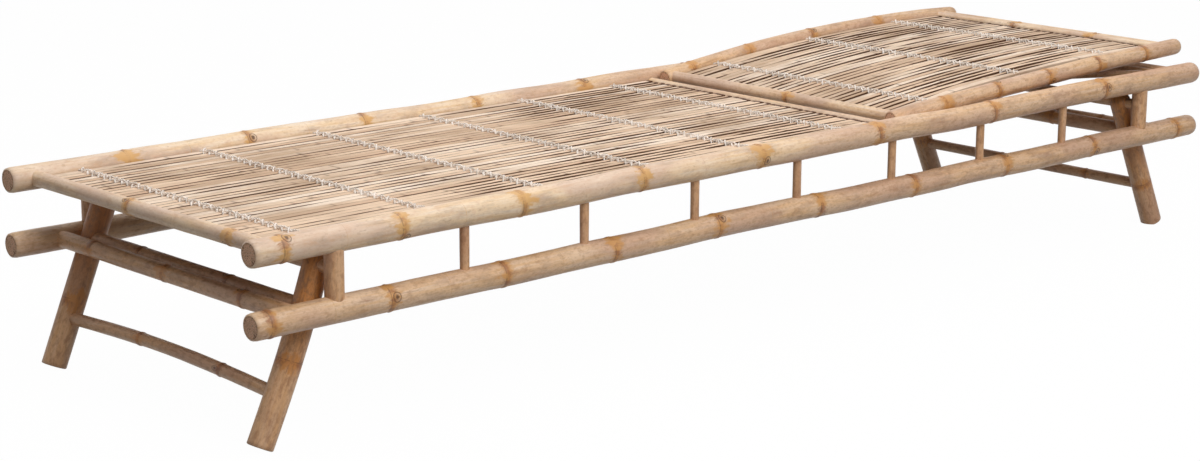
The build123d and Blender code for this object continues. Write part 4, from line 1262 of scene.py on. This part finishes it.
class LOUNGER_OT_legs(bpy.types.Operator):
    """Grow the two leg frames"""

    bl_idname = "lounger.legs"
    bl_label = "Leg frames"

    def execute(self, context):
        for end, outward in (("front", -1), ("rear", 1)):
            lean = math.radians(LEG_SPLAYS[end])
            down = Vector((outward * math.sin(lean), 0.0, -math.cos(lean)))
            pivot = joint_places[f"{end}_leg_fold"]
            body = f"{end}_legs"
            for side, sign in SIDES.items():
                node = f"{side}_{end}_leg"
                top = pivot + Vector((0.0, sign * LEG_Y * MM, 0.0))
                foot = top + down * LEG_LENGTHS[end] * MM
                # The top of each leg is browner, partly as painted shade under the seat
                leg = grow_culm(
                    f"{node}_culm", top, foot, LEG_RADIUS, RINGS[node], *LEG_TONES_AND_TOP_SHADE, lead=LEG_RADIUS,
                    taper=LEG_TAPERS[end], bow=BOWS.get(node, STRAIGHT),
                )
                trim_foot(leg)
                settle(leg, body, [node])
            for level, radius in STRETCHER_RADII.items():
                node = f"{end}_{level}_stretcher"
                rings = RINGS[f"{level}_stretcher"]
                bar = culm_for(node, Y, radius, rings, bow=BOWS.get(node, STRAIGHT))
                settle(bar, body, [node])
        return {"FINISHED"}


def trim_foot(leg):
    """Cuts a leg off level with the floor, and closes it with a sawn face."""
    shell = bmesh.new()
    shell.from_mesh(leg.data)
    everything = shell.verts[:] + shell.edges[:] + shell.faces[:]
    cut = bmesh.ops.bisect_plane(
        shell, geom=everything, plane_co=(0, 0, 0), plane_no=(0, 0, -1), clear_outer=True, dist=1e-6
    )
    rim = [item for item in cut["geom_cut"] if isinstance(item, bmesh.types.BMEdge)]
    closed = bmesh.ops.holes_fill(shell, edges=rim, sides=0)
    for face in closed["faces"]:
        face.material_index = 1
        face.smooth = False
    shell.to_mesh(leg.data)
    shell.free()


def backrest_matrix():
    """From the backrest's own plane to the frame: X up the backrest from its hinge."""
    turn = Matrix.Rotation(-math.radians(BACKREST_ANGLE), 4, "Y")
    return Matrix.Translation(joint_places["backrest_recline"]) @ turn


def arch(piece, bow=BACKREST_BOW):
    """Arches a piece that was made flat along the backrest's plane, and sets it at the hinge."""
    middle = BACKREST_LENGTH / 2 * MM
    bow = bow * MM
    radius = (middle ** 2 + bow ** 2) / (2 * bow)
    for vertex in piece.data.vertices:
        place, y, level = vertex.co
        lean = math.asin((middle - place) / radius)
        rise = bow - radius * (1 - math.cos(lean))
        vertex.co = (place - level * math.sin(lean), y, rise + level * math.cos(lean))
    piece.data.transform(backrest_matrix())


class LOUNGER_OT_backrest(bpy.types.Operator):
    """Grow the poles of the backrest"""

    bl_idname = "lounger.backrest"
    bl_label = "Backrest poles"

    def execute(self, context):
        for side, sign in SIDES.items():
            node = f"{side}_backrest_rail"
            low = Vector((-BACKREST_TAIL * MM, sign * BACKREST_RAIL_Y * MM, 0.0))
            high = Vector((BACKREST_LENGTH * MM, sign * BACKREST_RAIL_Y * MM, 0.0))
            rail = grow_culm(
                f"{node}_culm", low, high, BACKREST_RAIL_RADIUS, RINGS[node], BACKREST_RAIL_TONE,
                wander=BACKREST_WANDER,
            )
            arch(rail, BACKREST_RAIL_BOWS[side])
            settle(rail, "backrest", [node])
        hinge = joint_places["backrest_recline"]
        half = Vector((0.0, HINGE_BAR_HALF * MM, 0.0))
        bar = grow_culm(
            "backrest_hinge_bar_culm", hinge - half, hinge + half, HINGE_BAR_RADIUS,
            RINGS["backrest_hinge_bar"], HINGE_BAR_TONE,
        )
        low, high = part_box("backrest_hinge_bar")
        half = Vector((0.0, (high[1] - low[1]) / 2, 0.0))
        pins = grow_culm("backrest_hinge_pins", hinge - half, hinge + half, HINGE_PIN_RADIUS)
        settle(join([bar, pins], "backrest_hinge_bar_culm"), "backrest", ["backrest_hinge_bar"])
        for node in ("inner_head_bar", "outer_head_bar"):
            bar = culm_for(node, Y, HEAD_BAR_RADIUS, RINGS["head_bar"], HEAD_BAR_TONE)
            settle(bar, "backrest", [node])
        count = BACKREST_SLATS["rows"][2]
        for number in range(count):
            node = f"backrest_bearer_{number + 1}"
            settle(culm_for(node, Y, BACKREST_BEARER_RADIUS), "backrest", [node])
        return {"FINISHED"}


class LOUNGER_OT_prop(bpy.types.Operator):
    """Grow the prop, and finish its rod, racks and pegs"""

    bl_idname = "lounger.prop"
    bl_label = "Backrest prop"

    def execute(self, context):
        pivot = joint_places["prop_swing"]
        low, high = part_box("prop_foot_bar")
        foot = (Vector(low) + Vector(high)) / 2
        for side, sign in SIDES.items():
            node = f"{side}_prop_arm"
            aside = Vector((0.0, sign * PROP_ARM_Y * MM, 0.0))
            arm = grow_culm(
                f"{node}_culm", pivot + aside, foot + aside, PROP_ARM_RADIUS, lead=PROP_ARM_RADIUS
            )
            settle(arm, "prop", [node])
        settle(culm_for("prop_foot_bar", Y, FOOT_BAR_RADIUS), "prop", ["prop_foot_bar"])
        shop = stock()
        for node, material in (
            ("left_prop_rack", "wood"), ("right_prop_rack", "wood"), ("rack_pegs", "wood"),
            ("prop_pivot_rod", "steel"),
        ):
            slots = frame["nodes"][node].data.materials
            slots.clear()
            slots.append(shop[material])
        return {"FINISHED"}


def lay_on_seat(piece):
    """Sets a piece that was made flat along the seat at the foot ends of the rails, level with their axes."""
    low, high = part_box("left_upper_rail")
    piece.data.transform(Matrix.Translation((low[0], 0.0, (low[2] + high[2]) / 2)))


def slat_pitch(name, count):
    """The pitch of the slats of a mat, from the box round them."""
    low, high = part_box(f"{name}_slats")
    return (high[1] - low[1] - SLAT_WIDTH * MM) / (count - 1)


# What each mat is made of, how it is laid and the body that it is on
MATS = {
    "seat": (SEAT_SLATS, lay_on_seat, "frame"),
    "backrest": (BACKREST_SLATS, arch, "backrest"),
}


class LOUNGER_OT_slats(bpy.types.Operator):
    """Lay the split slats of the seat and the backrest"""

    bl_idname = "lounger.slats"
    bl_label = "Slats"

    def execute(self, context):
        settings = context.scene.lounger_slats
        shop = stock()
        for name, (mat, lay, body) in MATS.items():
            slats = grow(shop["slats"], f"{name}_slats_split", {
                "Count": mat["count"], "Pitch": slat_pitch(name, mat["count"]), "Width": SLAT_WIDTH * MM,
                "Thickness": SLAT_THICKNESS * MM, "Length": mat["length"] * MM,
                "Unevenness": settings.unevenness, "Opening": settings.opening * mat["looseness"],
                "Tight": mat["tight"], "Seed": mat["seed"], "Material": shop["split"],
            })
            middle = (SLAT_RISE - SLAT_THICKNESS / 2) * MM
            slats.data.transform(Matrix.Translation((mat["start"] * MM, 0.0, middle)))
            lay(slats)
            settle(slats, body, [f"{name}_slats"])
        return {"FINISHED"}


class LOUNGER_OT_lashings(bpy.types.Operator):
    """Lash the slats to their bearers"""

    bl_idname = "lounger.lashings"
    bl_label = "Lashings"

    def execute(self, context):
        settings = context.scene.lounger_lashings
        shop = stock()
        for name, (mat, lay, body) in MATS.items():
            bearer = mat["bearer"]
            first, pitch, count = mat["rows"]
            rows = []
            for number in range(count):
                row = grow(shop["lashing"], f"{name}_lashing_{number + 1}", {
                    "Count": mat["count"], "Pitch": slat_pitch(name, mat["count"]), "Strand": settings.strand,
                    "Sway": settings.sway, "Top": SLAT_RISE * MM + settings.strand * CORD_LIFT,
                    "Bearer level": (SLAT_RISE - SLAT_THICKNESS - BEARER_CLEARANCE - bearer) * MM,
                    "Bearer radius": bearer * MM, "Seed": number * ROW_SEED_STEP, "Material": shop["cord"],
                })
                row.data.transform(Matrix.Translation(((first + number * pitch) * MM, 0.0, 0.0)))
                rows.append(row)
            lashings = join(rows, f"{name}_lashings_cord")
            lay(lashings)
            settle(lashings, body, [f"{name}_lashings"])
        return {"FINISHED"}


def direct_ray(tree):
    """One where a ray comes from the camera, a reflection or a clear body, and nothing elsewhere."""
    path = add_node(tree, "ShaderNodeLightPath")
    seen = add_node(
        tree, "ShaderNodeMath", {0: path.outputs["Is Camera Ray"], 1: path.outputs["Is Glossy Ray"]},
        operation="MAXIMUM",
    )
    return add_node(
        tree, "ShaderNodeMath", {0: seen, 1: path.outputs["Is Transmission Ray"]}, operation="MAXIMUM"
    )


class LOUNGER_OT_stage(bpy.types.Operator):
    """Set the floor, the lamps, the sky and the camera"""

    bl_idname = "lounger.stage"
    bl_label = "Stage"

    def execute(self, context):
        settings = context.scene.lounger_stage
        scene = context.scene
        scene.view_settings.view_transform = "Standard"
        floor_mesh = bpy.data.meshes.new("floor")
        signs = ((-1, -1), (1, -1), (1, 1), (-1, 1))
        corners = [(x * FLOOR_HALF, y * FLOOR_HALF, 0.0) for x, y in signs]
        floor_mesh.from_pydata(corners, [], [(0, 1, 2, 3)])
        floor = bpy.data.objects.new("floor", floor_mesh)
        scene.collection.objects.link(floor)
        floor_mesh.materials.append(self.floor_material(settings))
        self.lamp("key", KEY_PLACE, KEY_SIZE, settings.key_power)
        self.lamp("top", TOP_PLACE, TOP_SIZE, settings.top_power)
        self.sky(scene, settings)
        self.camera(scene, settings)
        return {"FINISHED"}

    def floor_material(self, settings):
        """A white floor to the camera that keeps a soft share of the shadow."""
        material, tree = new_material("Pale floor")
        direct = direct_ray(tree)
        dimmed = [channel * settings.bounce for channel in settings.floor[:3]]
        colour = add_node(
            tree, "ShaderNodeMix", {0: direct, 6: (*dimmed, 1.0), 7: settings.floor}, data_type="RGBA"
        ).outputs[2]
        paint = add_node(tree, "ShaderNodeBsdfDiffuse", {"Color": colour})
        white = add_node(tree, "ShaderNodeEmission", {"Color": WHITE, "Strength": 1.0})
        seen = add_node(tree, "ShaderNodeMath", {0: direct, 1: FLOOR_WHITE}, operation="MULTIPLY")
        both = add_node(tree, "ShaderNodeMixShader", {0: seen, 1: paint, 2: white})
        add_node(tree, "ShaderNodeOutputMaterial", {"Surface": both})
        return material

    def lamp(self, name, place, size, power):
        """A square soft lamp that points at the middle of the lounger."""
        light = bpy.data.lights.new(name, "AREA")
        light.size = size
        light.energy = power
        lamp = bpy.data.objects.new(name, light)
        lamp.location = place
        toward = Vector(LAMP_TARGET) - Vector(place)
        lamp.rotation_euler = toward.to_track_quat("-Z", "Y").to_euler()
        bpy.context.scene.collection.objects.link(lamp)

    def sky(self, scene, settings):
        """White to the camera and in reflections, and an even soft light on the object."""
        world = bpy.data.worlds.new("sky")
        world.use_nodes = True
        tree = world.node_tree
        tree.nodes.clear()
        strength = add_node(
            tree, "ShaderNodeMapRange",
            {"Value": direct_ray(tree), "To Min": settings.sky, "To Max": SKY_WHITE},
        )
        light = add_node(tree, "ShaderNodeBackground", {"Color": WHITE, "Strength": strength})
        add_node(tree, "ShaderNodeOutputWorld", {"Surface": light})
        scene.world = world

    def camera(self, scene, settings):
        """The camera where the photograph was taken from, for a frame of 1200 by 461."""
        data = bpy.data.cameras.new("photo_camera")
        data.sensor_width = SENSOR_WIDTH
        data.sensor_fit = "HORIZONTAL"
        data.lens = settings.lens
        data.clip_end = CAMERA_REACH
        yaw = math.radians(CAMERA_YAW)
        pitch = math.radians(CAMERA_PITCH)
        roll = math.radians(CAMERA_ROLL)
        forward = Vector((math.sin(yaw) * math.cos(pitch), math.cos(yaw) * math.cos(pitch), math.sin(pitch)))
        level = Vector((math.cos(yaw), -math.sin(yaw), 0.0))
        upward = level.cross(forward)
        right = level * math.cos(roll) + upward * math.sin(roll)
        up = right.cross(forward)
        pose = Matrix((right, up, -forward)).transposed().to_4x4()
        camera = bpy.data.objects.new("photo_camera", data)
        camera.matrix_world = Matrix.Translation(CAMERA_PLACE) @ pose
        scene.collection.objects.link(camera)
        scene.camera = camera


class LOUNGER_PT_panel(bpy.types.Panel):
    """Lists the pieces of the lounger in the sidebar"""

    bl_idname = "LOUNGER_PT_panel"
    bl_label = "Bamboo sun lounger"
    bl_space_type = "VIEW_3D"
    bl_region_type = "UI"
    bl_category = "Lounger"

    def draw(self, context):
        for operator in OPERATORS:
            self.layout.operator(operator.bl_idname)
        for group in GROUPS:
            settings = getattr(context.scene, group)
            for name in settings.bl_rna.properties.keys():
                if name not in ("rna_type", "name"):
                    self.layout.prop(settings, name)


GROUPS = {
    "lounger_culms": CulmSettings,
    "lounger_slats": SlatSettings,
    "lounger_lashings": LashingSettings,
    "lounger_stage": StageSettings,
}
OPERATORS = (
    LOUNGER_OT_rails,
    LOUNGER_OT_uprights,
    LOUNGER_OT_crossbars,
    LOUNGER_OT_legs,
    LOUNGER_OT_backrest,
    LOUNGER_OT_prop,
    LOUNGER_OT_slats,
    LOUNGER_OT_lashings,
    LOUNGER_OT_stage,
)


def register():
    for group in GROUPS.values():
        bpy.utils.register_class(group)
    for operator in OPERATORS:
        bpy.utils.register_class(operator)
    bpy.utils.register_class(LOUNGER_PT_panel)
    for name, group in GROUPS.items():
        setattr(bpy.types.Scene, name, bpy.props.PointerProperty(type=group))


def unregister():
    for name in GROUPS:
        delattr(bpy.types.Scene, name)
    bpy.utils.unregister_class(LOUNGER_PT_panel)
    for operator in reversed(OPERATORS):
        bpy.utils.unregister_class(operator)
    for group in GROUPS.values():
        bpy.utils.unregister_class(group)


def main():
    """Builds the whole lounger."""
    register()
    bpy.ops.lounger.rails()
    bpy.ops.lounger.uprights()
    bpy.ops.lounger.crossbars()
    bpy.ops.lounger.legs()
    bpy.ops.lounger.backrest()
    bpy.ops.lounger.prop()
    bpy.ops.lounger.slats()
    bpy.ops.lounger.lashings()
    bpy.ops.lounger.stage()


if __name__ == "__main__":
    main()
